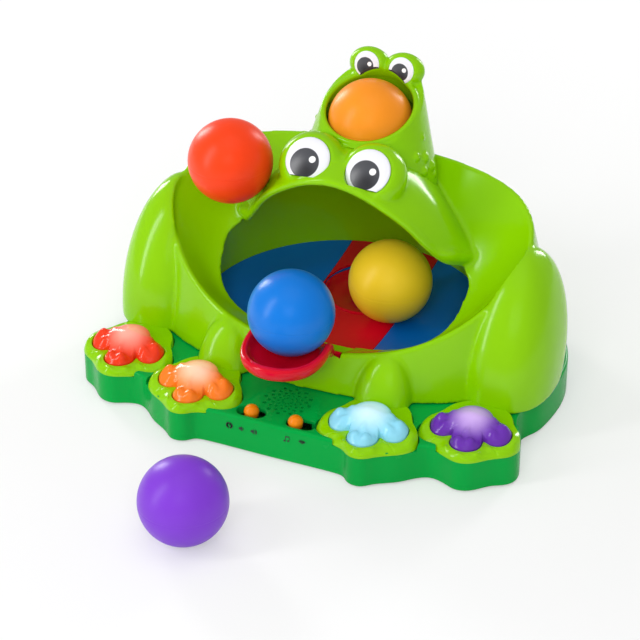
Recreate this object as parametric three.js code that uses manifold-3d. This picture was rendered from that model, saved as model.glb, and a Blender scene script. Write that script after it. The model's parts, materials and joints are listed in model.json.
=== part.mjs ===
// Frog ball popper toy. Millimetres, +Z up, the frog faces -Y.
// The shapes are drawn about the line below the big eyes, and the whole group is then moved
// back so that the origin is on the rest pad, in the middle of the base footprint.
import * as THREE from 'three';
import { mergeVertices } from 'three/addons/utils/BufferGeometryUtils.js';
import Module from 'manifold-3d';

const wasm = await Module();
wasm.setup();

// Facet counts
const BOWL_N = 32;
const DISH_N = 28;
const TOWER_N = 24;
const ROUND_N = 20;
const SMALL_N = 12;
const TINY_N = 8;
const BALL_N = 16;
const HOOD_ACROSS = 18;
const HOOD_ALONG = 5;
const BLOB_N = 18;
const BLOB_STEPS = 5;
const PAW_N = 24;
const SEARCH_STEPS = 40;

// Overall sizes
const FOOTPRINT_MID_Y = 18.5;
const WALL = 3;
const GAP = 0.35;
const BALL_R = 30;
const MERGE = 1e-4;

// Base
const SKIRT_BOTTOM = 1.5;
const DECK_TOP = 27.5;
const DECK_THICK = 3;
const DECK_EDGE = 1.4;
const CORNER_SHARE = 0.6;
const TRAY_THICK = 3;
const TRAY_TOP = SKIRT_BOTTOM + TRAY_THICK;
const BASE_MID_Y = 25;
const BASE_HALF_X = 164.5;
const BACK_NARROW = 2.5;
const BASE_BACK = 130;
const BACK_TURNS = [4, 18, 33, 48, 63, 77];
const DECK_HOLE_IN = 4.5;
const PAD_R = 11;
const RUBBER_R = 7;
const RUBBER_H = 1.2;

// Bowl-shaped body: wall axes at deck level and how they change with height
const BOWL_Y = 30;
const BASE_SHELF = 14.5;
const BOWL_SIDE = BASE_HALF_X - BASE_SHELF;
const BOWL_FRONT = 90;
const BOWL_BACK = 120;
const SIDE_LEAN = 0.17;
const FRONT_LEAN = 0.21;
const BACK_LEAN = 56;
const BACK_LEAN_H = 119;
const BACK_LEAN_POWER = 1.6;
const BACK_LEAN_SHARE = 1.2;
const BOWL_POWER = 2.1;
const RIM_LAND = 2.6;
const RIM_RISE = 0.2;
const SLOPE_SHARE = 1.2;
const WALL_SHARES = [0.35, 0.7, 0.93, 1];
const FUNNEL_SHARES = [0.2, 0.45, 0.72, 1];
const FUNNEL_FRONT_POWER = 1.25;
const FUNNEL_BACK_POWER = 1.7;
const RIM_Y = [-60, -54, -40, -29, -11, 29, 63, 94, 120];
const RIM_Z = [50, 56, 68, 78, 94, 121, 139, 147, 149];

// Mouth hole in the funnel, which lies in a tilted plane
const HOLE_Y = 21;
const HOLE_SIDE = 92;
const HOLE_FRONT = 45;
const HOLE_BACK = 17.4;
const HOLE_POWER = 2.7;
const HOLE_Z = 68;
const HOLE_SLOPE = 0.9;

// Thigh lobes
const THIGH_IN = 32.5;
const LEG_IN = 5;
const FOOT_SHARES = [0.3951, 0.7903];
const FOOT_IN_X = BASE_HALF_X * FOOT_SHARES[0];
const FOOT_OUT_X = BASE_HALF_X * FOOT_SHARES[1];
const THIGH_C = [BASE_HALF_X - THIGH_IN, 11.8, 47.2];
const THIGH_R = [32.8, 45.1, 76];
const THIGH_SHEAR = 0.2;
const THIGH_POWER = 2.4;

// Front leg lobes
const LEG_C = [FOOT_IN_X - LEG_IN, -52, 26];
const LEG_R = [20, 16.5, 36];

// Head hood: upper lip and the line where the hood meets the funnel
const LIP = [[86, 37, 99], [76, 19, 108], [66, 9, 122], [54, 2, 138], [40, -3, 150], [20, -7, 161.5],
  [0, -8, 165.5]];
const HOOD_FOOT = [[88, 41, 99], [88, 46, 103], [76, 55, 112], [60, 67, 122], [42, 79, 134],
  [20, 90, 141], [0, 94, 143]];
const HOOD_BULGE = 17;
const HOOD_POWER = 0.7;
const HOOD_FLOOR = 40;
const LIP_ROLL = 3;
const RING_ROLL = 2.25;

// Eyes
const EYE_C = [22.5, 7.5, 168.6];
const EYE_TILT = 43;
const EYE_R = 16;
const EYE_THICK = 3.4;
const EYE_BULGE = [24.5, 24, 17];
const EYE_SINK = 11;
const EYE_FLAT = 0.8;
const LENS_SHARES = [[0, 0], [1, 0], [1, 0.35], [0.6, 0.85], [0, 1]];
const BABY_EYE_C = [13.1, 86, 208.6];
const BABY_EYE_TILT = 18;
const BABY_EYE_R = 9.3;
const BABY_BULGE = [14, 12.3, 11];
const BABY_SINK = 6.5;
const BROW_C = [0, 92, 202];
const BROW_R = [20, 10, 9];

// Baby frog tower: height, centre line and radius
const TOWER = [[118, 60, 50], [135, 61, 49.5], [150, 62.5, 46.5], [165, 65, 42.7], [178, 68, 39.2],
  [190, 71, 35.8], [205, 75, 30.4], [216, 79, 22]];
const TOWER_TOP = [221, 81];
const RING_Z = 156;
const RING_SLOPE = 0.6;
const EXIT_TILT = 36;
const EXIT_R = 31.2;
const OUTLET_R = 31.2;
const OUTLET_C = [0, 64, 185.2];
const TUBE_Y = 65.5;
const TUBE_IN = 32;
const TUBE_OUT = 34;
const TUBE_BOTTOM = 142;
const TUBE_TOP = 166;
const HEAD_BORE = 35.5;

// Mouth floor
const STRIP_THICK = 1.6;
const CUP_WALL = 2;
const LINER_LEAN = 0.25;
const LINER_FRONT_Y = -25;
const DISH_Y = 17;
const DISH_R = 104;
const DISH_EDGE_Z = 46;
const DISH_FLOOR_Z = 37;
const DISH_THICK = 2.6;
const DISH_FIT = 2;
const DISH_SHARES = [1, 0.82, 0.5];
const DISH_POWER = 2.2;
const STRIP_HALF = 34.5;
const CUP_R = 33.5;
const CUP_FLOOR_Z = 31;
const LINER_WALL = 2.4;

// Tongue
const TONGUE_HALF = 33;
const TONGUE_THICK = 4.2;
const TONGUE_CURL = 14;
const CURL_RUN = 18;
const PIN_Y = -47;
const PIN_Z = 49.4;
const PIN_R = 1.6;
const PIN_HALF = 40;
const BARREL_R = 3.4;
const BARREL_HALF = 29;
const NOTCH_HALF = 35.5;
const NOTCH_Y = [-64, -18];
const NOTCH_Z = 45.4;
const BOSS_END = 42;
const TONGUE_MID_Y = -67;
const TONGUE_LONG = 37;
const TONGUE_POWER = 2.3;
const TONGUE_Y = [-104, -90, -75, -62, -54, -45, -30];
const TONGUE_Z = [58.5, 57.5, 58.5, 60.5, 60.5, 57, 50];
const SPRING_LEN = 9;
const TONGUE_SHARES = [[0.4, 1], [0.7, 1], [0.93, 1], [1, 0.7], [1, 0.3], [0.93, 0], [0.8, 0], [0.6, 0],
  [0.3, 0]];
const CURL_POWER = 3;

// Feet, buttons and what is below them
const FOOT_OUT = [FOOT_OUT_X, -67];
const FOOT_IN = [FOOT_IN_X, -90];
const FOOT_OUT_TURN = 4;
const FOOT_IN_TURN = 2;
const FOOT_FLOOR = 23.5;
const BEZEL_TOP = 33;
const BEZEL_EDGE = 2.5;
const BUTTON_TOP = 41.8;
const BUTTON_EDGE = 34.5;
const BUTTON_SHARES = [[0, 0.0243, 0.0881], [0.1094, 0.0061, 0.0608], [-0.1094, 0.0061, 0.0608],
  [0, -0.0669, 0.0638]];
const BEZEL_SHARES = [[0, 0.0608, 0.1277], [0.1216, 0, 0.0881], [-0.1216, 0, 0.0881],
  [0, -0.079, 0.1003]];
const PAW_BUTTON = BUTTON_SHARES.map((circle) => circle.map((share) => share * BASE_HALF_X));
const PAW_BEZEL = BEZEL_SHARES.map((circle) => circle.map((share) => share * BASE_HALF_X));
const PAW_FIT = 0.7;
const PAW_POWER = 12;
const DOME_SHARES = [[0.9, 0.36], [0.68, 0.76], [0.34, 0.96]];
const FLANGE = 2;
const FLANGE_THICK = 1.6;
const PRESS = 2.5;
const SWITCH_SIZE = 8;
const SWITCH_H = 7;
const POST_SHARES = [0.8, 1.6];
const LED_R = 2.5;
const LED_H = 6;

// Slide switches and speaker
const KNOB_Y = -99.5;
const KNOB_X = [-17.5, 15.5];
const SLOT_X = [-17.5, 19.5];
const SLOT_LONG = 21;
const SLOT_WIDE = 12;
const KNOB_R = 5.2;
const PLATE_HALF = [4.8, 6.4];
const KNOB_Z = 28.6;
const SPEAKER_Y = -78;
const SPEAKER_R = 17;
const SPEAKER_H = 9;
const SEAT_R = 6;
const GRILLE_R = 14.5;
const HOLE_DOT = 1.1;
const GRILLE_SIDES = 5;
const GRILLE_SHARES = [[0.3, 3], [0.66, 6], [1, 9]];

// Blower
const DRUM_Y = -14;
const DRUM_R = 41;
const DRUM_BOTTOM = 6.5;
const DRUM_TOP = 27;
const DRUM_WALL = 2;
const DUCT_HALF = 19;
const NOZZLE_R = 12;
const FAN_CLEAR = 6;
const FAN_R = DRUM_R - FAN_CLEAR;
const HUB_SHARE = 0.12;
const BLADE_SHARES = [0.55, 0.98];
const INLET_SHARE = 0.45;
const FAN_BLADES = 12;
const FAN_TOP = 21;
const MOTOR_R = 12;
const MOTOR_Z = 14;
const VENT_PITCH = 9;
const VENT_HALF = 3;
const VENT_Y = [-32.5, -1.7];
const BOARD_X = [62, 118];
const BOARD_Y = [-42, 28];
const BOARD_THICK = 1.6;
const POST_R = 4;
const POSTS = [[34, -14], [-34, -14], [14, 50], [-14, 50], [66, -38], [114, -38], [66, 24], [114, 24]];

// Batteries
const CELL_R = 7.1;
const CELL_LEN = 50;
const CELL_PITCH = 15;
const CELL_Z = 12.2;
const BOX_HALF_X = 32;
const BOX_Y = [86.6, 141];
const BOX_TOP = 22;
const BOX_WALL = 1.6;
const DOOR_THICK = 2.4;
const DOOR_IN = 1.6;
const SCREW_R = 2;
const SCREW_HEAD = 3.6;
const SCREW_SINK = 1.2;
const SCREW_IN = 24.5;
const SCREW_X = BASE_HALF_X - SCREW_IN;
const SCREWS = [[-SCREW_X, 0], [SCREW_X, 0], [-88, 108], [88, 108]];
const RUBBER_IN = 36.5;
const RUBBER_X = BASE_HALF_X - RUBBER_IN;
const RUBBERS = [[-RUBBER_X, -50], [RUBBER_X, -50], [-104, 84], [104, 84]];

// Balls as they lie in the picture
const BALL_ORANGE = [0, 64.1, 177];
const BALL_RED = [-81.7, 6.4, 155.8];
const BALL_BLUE = [-3, -64.8, 90.5];
const BALL_YELLOW = [29.1, 34.7, 69.3];
const BALL_PURPLE = [-11.8, -214.9, 30];

// Right half of the base outline from the front middle to the flank
const BASE_HALF = [[0, -110], [52, -110], [58, -114.5], [64, -118], [72, -117.5], [77, -112], [85, -107],
  [93, -102], [101, -94], [110, -88.5], [121, -91], [129, -95], [138, -93.5], [144, -88.5], [151, -81],
  [160, -76], [164.5, -67], [161, -52], [153, -38], [151, -21], [159, -3]];

const green = mat(0x97d700, 0.28);
const baseGreen = mat(0x00913a, 0.3);
const blue = mat(0x0058a8, 0.3);
const red = mat(0xcf0a2c, 0.25);
const white = mat(0xf2f2f6, 0.2);
const orange = mat(0xf08c14, 0.35);
const dark = mat(0x26282c, 0.6);
const grey = mat(0xb9bcc0, 0.5);
const steel = mat(0xc4c7ca, 0.3, 1);
const rubber = mat(0x1c1c1e, 0.9);
const board = mat(0x1f6b3a, 0.55);

const frog = new THREE.Group();
frog.position.set(0, -FOOTPRINT_MID_Y, 0);

function mat(color, roughness, metalness = 0) {
  return new THREE.MeshStandardMaterial({ color, roughness, metalness });
}

function add(name, geometry, material) {
  const mesh = new THREE.Mesh(bare(geometry), material);
  mesh.name = name;
  frog.add(mesh);
  return mesh;
}

// Shared vertices with positions only
function bare(geometry) {
  const g = geometry.clone();
  for (const key of Object.keys(g.attributes)) {
    if (key !== 'position') g.deleteAttribute(key);
  }
  return mergeVertices(g, MERGE);
}

function solid(geometry) {
  const g = bare(geometry);
  const vertProperties = new Float32Array(g.attributes.position.array);
  const triVerts = new Uint32Array(g.index.array);
  const mesh = new wasm.Mesh({ numProp: 3, vertProperties, triVerts });
  mesh.merge();
  return new wasm.Manifold(mesh);
}

function geometryOf(manifold) {
  const mesh = manifold.getMesh();
  const g = new THREE.BufferGeometry();
  g.setAttribute('position', new THREE.BufferAttribute(new Float32Array(mesh.vertProperties), 3));
  g.setIndex(new THREE.BufferAttribute(new Uint32Array(mesh.triVerts), 1));
  return g;
}

// Two triangles of a four-sided patch, the second half of a row as the mirror of the first
function patch(a, b, c, d, mirrored) {
  return mirrored ? [a, b, d, b, c, d] : [a, b, c, a, c, d];
}

// Patches between the ring of points that starts at an index and the next one
function band(start, n) {
  const index = [];
  for (let j = 0; j < n; j++) {
    const a = start + j;
    const b = start + ((j + 1) % n);
    index.push(...patch(a, b, b + n, a + n, j >= n / 2));
  }
  return index;
}

// Closed surface through rings of equal length, with a point or a fan at each end
function ringSolid(rings) {
  const n = rings[0].length;
  const points = rings.flat();
  const first = centre(rings[0]);
  const last = centre(rings[rings.length - 1]);
  const index = [];
  for (let i = 0; i < rings.length - 1; i++) index.push(...band(i * n, n));
  const base = points.length;
  points.push(first, last);
  const top = (rings.length - 1) * n;
  for (let j = 0; j < n; j++) {
    const k = (j + 1) % n;
    index.push(base, k, j);
    index.push(base + 1, top + j, top + k);
  }
  return fromFaces(points, index);
}

function centre(ring) {
  const sum = ring.reduce((s, p) => s.add(p), new THREE.Vector3());
  return sum.divideScalar(ring.length);
}

// Geometry with its faces turned outwards
function fromFaces(points, index) {
  let volume = 0;
  for (let i = 0; i < index.length; i += 3) {
    const [a, b, c] = [points[index[i]], points[index[i + 1]], points[index[i + 2]]];
    volume += a.dot(new THREE.Vector3().crossVectors(b, c));
  }
  const faces = volume < 0 ? index.slice().reverse() : index;
  const g = new THREE.BufferGeometry().setFromPoints(points);
  g.setIndex(faces);
  return g;
}

function vec(p) {
  return new THREE.Vector3(p[0], p[1], p[2]);
}

function lerp(a, b, t) {
  return a + (b - a) * t;
}

// Value at x in a table of rising xs, with straight runs between
function table(xs, ys, x) {
  if (x <= xs[0]) return ys[0];
  for (let i = 1; i < xs.length; i++) {
    if (x <= xs[i]) return lerp(ys[i - 1], ys[i], (x - xs[i - 1]) / (xs[i] - xs[i - 1]));
  }
  return ys[ys.length - 1];
}

// Point on a flattened ellipse, seen from its middle in direction theta, 0 at the front
function superPoint(theta, side, front, back, power) {
  const sx = Math.sin(theta);
  const sy = -Math.cos(theta);
  const depth = sy < 0 ? front : back;
  const r = (Math.abs(sx / side) ** power + Math.abs(sy / depth) ** power) ** (-1 / power);
  return [r * sx, r * sy];
}

function around(n, fn) {
  return Array.from({ length: n }, (_, i) => fn((2 * Math.PI * i) / n));
}

function backShare(up) {
  return Math.min(BACK_LEAN_SHARE, up / BACK_LEAN_H);
}

// Outside of the bowl wall at a height, drawn inwards by d
function wallPoint(theta, z, d) {
  const up = Math.max(0, z - DECK_TOP);
  const side = BOWL_SIDE - SIDE_LEAN * up - d;
  const front = BOWL_FRONT - FRONT_LEAN * up - d;
  const back = BOWL_BACK - BACK_LEAN * backShare(up) ** BACK_LEAN_POWER - d;
  const [x, y] = superPoint(theta, side, front, back, BOWL_POWER);
  return new THREE.Vector3(x, BOWL_Y + y, z);
}

function rimPoint(theta, d) {
  let z = RIM_Z[4];
  for (let i = 0; i < SEARCH_STEPS; i++) {
    z = lerp(z, table(RIM_Y, RIM_Z, wallPoint(theta, z, 0).y), 0.5);
  }
  return wallPoint(theta, z, d);
}

function holePoint(theta, grow = 0) {
  const [x, y] = superPoint(theta, HOLE_SIDE + grow, HOLE_FRONT + grow, HOLE_BACK + grow, HOLE_POWER);
  const yy = HOLE_Y + y;
  return new THREE.Vector3(x, yy, HOLE_Z + HOLE_SLOPE * yy);
}

// The bowl wall as a filled block, up to the rim
function bowlBlock(d) {
  const bottom = d > 0 ? DECK_TOP - DRUM_R : DECK_TOP + GAP + Math.min(0, d);
  const drop = Math.max(0, d) * SLOPE_SHARE;
  const n = BOWL_N;
  const rings = [around(n, (t) => wallPoint(t, DECK_TOP, d).setZ(bottom))];
  if (d > 0) rings.push(around(n, (t) => wallPoint(t, DECK_TOP, d)));
  for (const share of WALL_SHARES) {
    rings.push(around(n, (t) => {
      const top = rimPoint(t, d).z - drop;
      return wallPoint(t, lerp(DECK_TOP, top, share), d);
    }));
  }
  const above = Math.max(0, -d);
  rings.push(around(n, (t) => {
    const p = rimPoint(t, d);
    return inward(p, RIM_LAND * 2).setZ(p.z - drop + above);
  }));
  return ringSolid(rings);
}

// Moves a point level towards the middle of the bowl
function inward(p, by) {
  const dx = -p.x;
  const dy = BOWL_Y - p.y;
  const len = Math.hypot(dx, dy);
  return new THREE.Vector3(p.x + (dx / len) * by, p.y + (dy / len) * by, p.z);
}

// The open space above the funnel, grown outwards by d
function scoop(d) {
  const n = BOWL_N;
  const lid = around(n, (t) => inward(rimPoint(t, 0), RIM_LAND - d).setZ(TOWER_TOP[0] + BALL_R));
  const rim = around(n, (t) => {
    const p = rimPoint(t, 0);
    return inward(p, RIM_LAND - d).setZ(p.z + RIM_RISE - Math.min(d, 0));
  });
  const funnel = FUNNEL_SHARES.map((share) => around(n, (t) => funnelPoint(t, share, d)));
  return ringSolid([lid, rim, ...funnel]);
}

// Point of the funnel surface, share 0 at the rim and 1 at the hole, lowered by d
function funnelPoint(theta, share, d) {
  const a = inward(rimPoint(theta, 0), RIM_LAND);
  const b = holePoint(theta);
  const back = (1 - Math.cos(theta)) / 2;
  const fall = (1 - share) ** lerp(FUNNEL_FRONT_POWER, FUNNEL_BACK_POWER, back);
  const x = lerp(a.x, b.x, share);
  const y = lerp(a.y, b.y, share);
  return new THREE.Vector3(x, y, lerp(b.z, a.z, fall) - d * SLOPE_SHARE);
}

function holePlug() {
  const low = around(BOWL_N, (t) => holePoint(t).setZ(HOOD_FLOOR));
  const high = around(BOWL_N, (t) => holePoint(t).add(new THREE.Vector3(0, 0, WALL / 2)));
  return ringSolid([low, high]);
}

function blob(c, r, power, shear, zStart, n = BLOB_N, steps = BLOB_STEPS) {
  const from = Math.asin(Math.max(-1, (zStart - c[2]) / r[2]));
  const rings = [];
  for (let i = 0; i < steps; i++) {
    const phi = lerp(from, Math.PI / 2, i / steps);
    const z = c[2] + r[2] * Math.sin(phi);
    rings.push(around(n, (t) => {
      const [x, y] = superPoint(t, r[0], r[1], r[1], power);
      const k = Math.cos(phi);
      return new THREE.Vector3(c[0] + x * k, c[1] + y * k + shear * (z - c[2]), z);
    }));
  }
  const tip = new THREE.Vector3(c[0], c[1] + shear * r[2], c[2] + r[2]);
  return capSolid(rings, tip);
}

// Rings with a flat fan at the start and one tip point at the end
function capSolid(rings, tip) {
  const n = rings[0].length;
  const points = [...rings.flat(), centre(rings[0]), tip];
  const index = [];
  for (let i = 0; i < rings.length - 1; i++) index.push(...band(i * n, n));
  const top = (rings.length - 1) * n;
  for (let j = 0; j < n; j++) {
    const k = (j + 1) % n;
    index.push(points.length - 2, k, j);
    index.push(points.length - 1, top + j, top + k);
  }
  return fromFaces(points, index);
}

function less(r, d) {
  return r.map((v) => v - d);
}

function mirrorX(p, s) {
  return [p[0] * s, p[1], p[2]];
}

// Smooth line through half of a symmetric curve and its mirror image
function symmetric(half) {
  const left = half.map((p) => mirrorX(p, -1)).slice(0, -1);
  const right = half.slice().reverse();
  return new THREE.CatmullRomCurve3([...left, ...right].map(vec), false, 'catmullrom', 0.5);
}

const lipCurve = symmetric(LIP);
const footCurve = symmetric(HOOD_FOOT);

// The head: a skin between the upper lip and the foot line, filled down to a flat floor
function hood(d) {
  const grid = [];
  for (let j = 0; j <= HOOD_ALONG; j++) {
    grid.push(Array.from({ length: HOOD_ACROSS + 1 }, (_, i) => {
      return hoodPoint(i / HOOD_ACROSS, j / HOOD_ALONG, d);
    }));
  }
  const forward = d > 0 ? WALL * 4 : -d;
  if (forward) grid.unshift(grid[0].map((p) => new THREE.Vector3(p.x, p.y - forward, p.z)));
  return skirted(grid, HOOD_FLOOR);
}

// Point of the head's skin, v 0 at the lip and 1 at the foot line
function hoodPoint(u, v, d) {
  const p = lipCurve.getPoint(u).lerp(footCurve.getPoint(u), v);
  const lift = HOOD_BULGE * Math.sin(Math.PI * v) * Math.sin(Math.PI * u) ** HOOD_POWER;
  p.z += lift - d * SLOPE_SHARE;
  return p;
}

// A grid of points closed by a straight skirt and a flat floor
function skirted(grid, floor) {
  const rows = grid.length;
  const cols = grid[0].length;
  const points = grid.flat();
  const index = [];
  for (let j = 0; j < rows - 1; j++) {
    for (let i = 0; i < cols - 1; i++) {
      const a = j * cols + i;
      index.push(...patch(a, a + 1, a + cols + 1, a + cols, i >= (cols - 1) / 2));
    }
  }
  const edge = [];
  for (let i = 0; i < cols; i++) edge.push(i);
  for (let j = 1; j < rows; j++) edge.push(j * cols + cols - 1);
  for (let i = cols - 2; i >= 0; i--) edge.push((rows - 1) * cols + i);
  for (let j = rows - 2; j > 0; j--) edge.push(j * cols);
  const base = points.length;
  for (const e of edge) points.push(points[e].clone().setZ(floor));
  points.push(centre(points.slice(base)));
  const mid = points.length - 1;
  for (let k = 0; k < edge.length; k++) {
    const m = (k + 1) % edge.length;
    index.push(edge[k], base + k, base + m, edge[k], base + m, edge[m]);
    index.push(mid, base + m, base + k);
  }
  return fromFaces(points, index);
}

function ellipsoid(c, r, tilt, n = SMALL_N, m = TINY_N) {
  const g = new THREE.SphereGeometry(1, n, m);
  g.rotateX(Math.PI / 2);
  g.scale(r[0], r[1], r[2]);
  g.rotateX(THREE.MathUtils.degToRad(tilt));
  g.translate(c[0], c[1], c[2]);
  return g;
}

// Centre of the bulge behind an eye plate
function behind(c, tilt, by) {
  const a = THREE.MathUtils.degToRad(tilt);
  return [c[0], c[1] + Math.sin(a) * by, c[2] - Math.cos(a) * by];
}

// Bulge behind an eye, with a flat front that carries the eye plate
function eyeBulge(s, d) {
  const tilt = 90 - EYE_TILT;
  const round = ellipsoid(mirrorX(behind(EYE_C, tilt, EYE_SINK), s), less(EYE_BULGE, d), tilt);
  const reach = EYE_R * 2;
  const front = box(-reach, reach, -reach, reach, EYE_FLAT - d, reach);
  return solid(round).subtract(solid(tilted(front, mirrorX(EYE_C, s), tilt)));
}

// The outer body shape without the tower, drawn inwards by d
function bodyShape(d) {
  const low = d > 0 ? DECK_TOP - DRUM_R : DECK_TOP + GAP + d;
  let block = solid(bowlBlock(d));
  for (const s of [1, -1]) {
    const thigh = blob(mirrorX(THIGH_C, s), less(THIGH_R, d), THIGH_POWER, THIGH_SHEAR, low);
    const leg = blob(mirrorX(LEG_C, s), less(LEG_R, d), THIGH_POWER, THIGH_SHEAR, low, SMALL_N, 3);
    block = block.add(solid(thigh)).add(solid(leg));
  }
  block = block.subtract(solid(scoop(d)));
  block = block.add(solid(hood(d)));
  if (d > 0) return block;
  for (const s of [1, -1]) block = block.add(eyeBulge(s, d));
  return block;
}

function cylinder(r, z0, z1, x = 0, y = 0, n = ROUND_N) {
  const g = new THREE.CylinderGeometry(r, r, z1 - z0, n);
  g.rotateX(Math.PI / 2);
  g.translate(x, y, (z0 + z1) / 2);
  return g;
}

function box(x0, x1, y0, y1, z0, z1) {
  const g = new THREE.BoxGeometry(x1 - x0, y1 - y0, z1 - z0);
  g.translate((x0 + x1) / 2, (y0 + y1) / 2, (z0 + z1) / 2);
  return g;
}

function tube(rOut, rIn, z0, z1, x, y, n) {
  return latheAt([[rIn, z0], [rOut, z0], [rOut, z1], [rIn, z1], [rIn, z0]], x, y, n);
}

const outside = bodyShape(0);
const inside = bodyShape(WALL);
const clearance = bodyShape(-GAP);
const hollow = bodyShape(WALL + GAP);

function stack(items, op = 'add') {
  return items.map(solid).reduce((a, b) => a[op](b));
}

function cut(base, ...tools) {
  return tools.reduce((a, b) => a.subtract(b), base);
}

// A cylinder along X
function rod(r, x0, x1, y, z, n = SMALL_N) {
  const g = new THREE.CylinderGeometry(r, r, x1 - x0, n);
  g.rotateZ(Math.PI / 2);
  g.translate((x0 + x1) / 2, y, z);
  return g;
}

function tilted(g, c, tilt) {
  g.rotateX(THREE.MathUtils.degToRad(tilt));
  g.translate(c[0], c[1], c[2]);
  return g;
}

// Open space in front of an eye plate
function eyeSeat(c, tilt, r, s) {
  return solid(tilted(cylinder(r + GAP, 0, r * 2), mirrorX(c, s), tilt));
}

function lipRoll(r) {
  const ring = new THREE.Shape();
  ring.absarc(0, 0, r, 0, 2 * Math.PI);
  const extrudePath = symmetric(LIP.map((p) => [p[0], p[1] + LIP_ROLL / 2, p[2] - LIP_ROLL]));
  const bar = { steps: HOOD_ACROSS, curveSegments: 3, bevelEnabled: false, extrudePath };
  return solid(new THREE.ExtrudeGeometry(ring, bar));
}

function bodyShell() {
  let shell = outside.subtract(inside).subtract(solid(holePlug()));
  for (const s of [1, -1]) shell = shell.subtract(eyeSeat(EYE_C, 90 - EYE_TILT, EYE_R, s));
  shell = shell.add(lipRoll(LIP_ROLL));
  const bore = solid(cylinder(HEAD_BORE, HOOD_FLOOR, TOWER_TOP[0], 0, TUBE_Y, TOWER_N));
  const notch = solid(box(-NOTCH_HALF, NOTCH_HALF, NOTCH_Y[0], NOTCH_Y[1], NOTCH_Z, TONGUE_Z[0] + BALL_R));
  shell = cut(shell, bore, notch);
  for (const s of [1, -1]) {
    const [x0, x1] = s > 0 ? [NOTCH_HALF - WALL / 2, BOSS_END] : [-BOSS_END, WALL / 2 - NOTCH_HALF];
    shell = shell.add(solid(rod(BARREL_R, x0, x1, PIN_Y, PIN_Z)));
  }
  return shell.subtract(solid(rod(PIN_R + GAP, -PIN_HALF - GAP, PIN_HALF + GAP, PIN_Y, PIN_Z)));
}

// Domed disc with a flat back
function lens(c, tilt, r, thick, s) {
  const profile = LENS_SHARES.map(([a, b]) => [r * a, thick * b]);
  return tilted(latheAt(profile, 0, 0, ROUND_N), mirrorX(c, s), tilt);
}

function eyePlate(s) {
  const c = behind(EYE_C, 90 - EYE_TILT, -GAP);
  return cut(solid(lens(c, 90 - EYE_TILT, EYE_R, EYE_THICK, s)), lipRoll(LIP_ROLL + GAP));
}

// The baby frog's outside, below the tilted plane of its mouth
function towerOutside() {
  const rings = TOWER.map(([z, y, r]) => around(TOWER_N, (t) => {
    return new THREE.Vector3(r * Math.sin(t), y - r * Math.cos(t), z);
  }));
  const cone = solid(capSolid(rings, new THREE.Vector3(0, TOWER_TOP[1], TOWER_TOP[0])));
  const lid = new THREE.BoxGeometry(TOWER_TOP[0], TOWER_TOP[0], TOWER_TOP[0]);
  lid.translate(0, 0, TOWER_TOP[0] / 2);
  const plane = tilted(lid, [0, 0, RING_Z], THREE.MathUtils.radToDeg(Math.atan(RING_SLOPE)));
  let head = cone.subtract(solid(plane));
  for (const s of [1, -1]) {
    const c = mirrorX(behind(BABY_EYE_C, 90 - BABY_EYE_TILT, BABY_SINK), s);
    head = head.add(solid(ellipsoid(c, BABY_BULGE, 90 - BABY_EYE_TILT)));
  }
  return head.add(solid(ellipsoid(BROW_C, BROW_R, 0)));
}

function babyFrog() {
  const profile = [[0, HOOD_FLOOR], [HEAD_BORE, HOOD_FLOOR], [HEAD_BORE, TUBE_TOP + GAP],
    [TUBE_IN, TUBE_TOP + WALL * 3], [TUBE_IN, OUTLET_C[2]], [0, OUTLET_C[2]]];
  const well = latheAt(profile, 0, TUBE_Y, TOWER_N);
  const chamber = ellipsoid(OUTLET_C, [OUTLET_R, OUTLET_R, OUTLET_R], 0, TOWER_N, TINY_N);
  let head = cut(towerOutside(), clearance, solid(well), solid(chamber), exitBore(0));
  for (const s of [1, -1]) head = head.subtract(eyeSeat(BABY_EYE_C, 90 - BABY_EYE_TILT, BABY_EYE_R, s));
  return head.add(cut(ringRoll(0), clearance));
}

// Slanted way out of the baby frog's mouth
function exitBore(grow) {
  return solid(tilted(cylinder(EXIT_R + grow, 0, BALL_R * 3, 0, 0, TOWER_N), OUTLET_C, EXIT_TILT));
}

function babyEye(s) {
  const c = behind(BABY_EYE_C, 90 - BABY_EYE_TILT, -GAP);
  const plate = solid(lens(c, 90 - BABY_EYE_TILT, BABY_EYE_R, EYE_THICK / 2, s));
  return cut(plate, exitBore(0), ringRoll(GAP));
}

// Rounded lip round the baby frog's open mouth
function ringRoll(grow) {
  const g = new THREE.TorusGeometry(OUTLET_R + RING_ROLL, RING_ROLL + grow, TINY_N - 2, TOWER_N);
  const a = Math.atan(RING_SLOPE);
  const out = (RING_Z + RING_SLOPE * OUTLET_C[1] - OUTLET_C[2]) * Math.cos(a);
  const c = [0, OUTLET_C[1] - Math.sin(a) * out, OUTLET_C[2] + Math.cos(a) * out];
  return solid(tilted(g, c, THREE.MathUtils.radToDeg(a)));
}

// Distance from the middle of the mouth floor to its edge
function dishRadius(theta, inset) {
  const a = BOWL_SIDE - inset;
  const f = BOWL_FRONT - FRONT_LEAN * (DISH_EDGE_Z - DECK_TOP) - inset;
  const b = BOWL_BACK - inset;
  let low = 0;
  let high = DISH_R;
  for (let i = 0; i < SEARCH_STEPS; i++) {
    const r = (low + high) / 2;
    const x = r * Math.sin(theta);
    const y = DISH_Y - r * Math.cos(theta) - BOWL_Y;
    const e = Math.abs(x / a) ** BOWL_POWER + Math.abs(y / (y < 0 ? f : b)) ** BOWL_POWER;
    if (e < 1) low = r;
    else high = r;
  }
  return low;
}

function dishZ(share) {
  return lerp(DISH_FLOOR_Z, DISH_EDGE_Z, share ** DISH_POWER);
}

function dishRing(share, up, grow = 0) {
  return around(DISH_N, (t) => {
    const r = dishRadius(t, WALL + DISH_FIT) * share + grow;
    return new THREE.Vector3(r * Math.sin(t), DISH_Y - r * Math.cos(t), dishZ(share) + up);
  });
}

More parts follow.
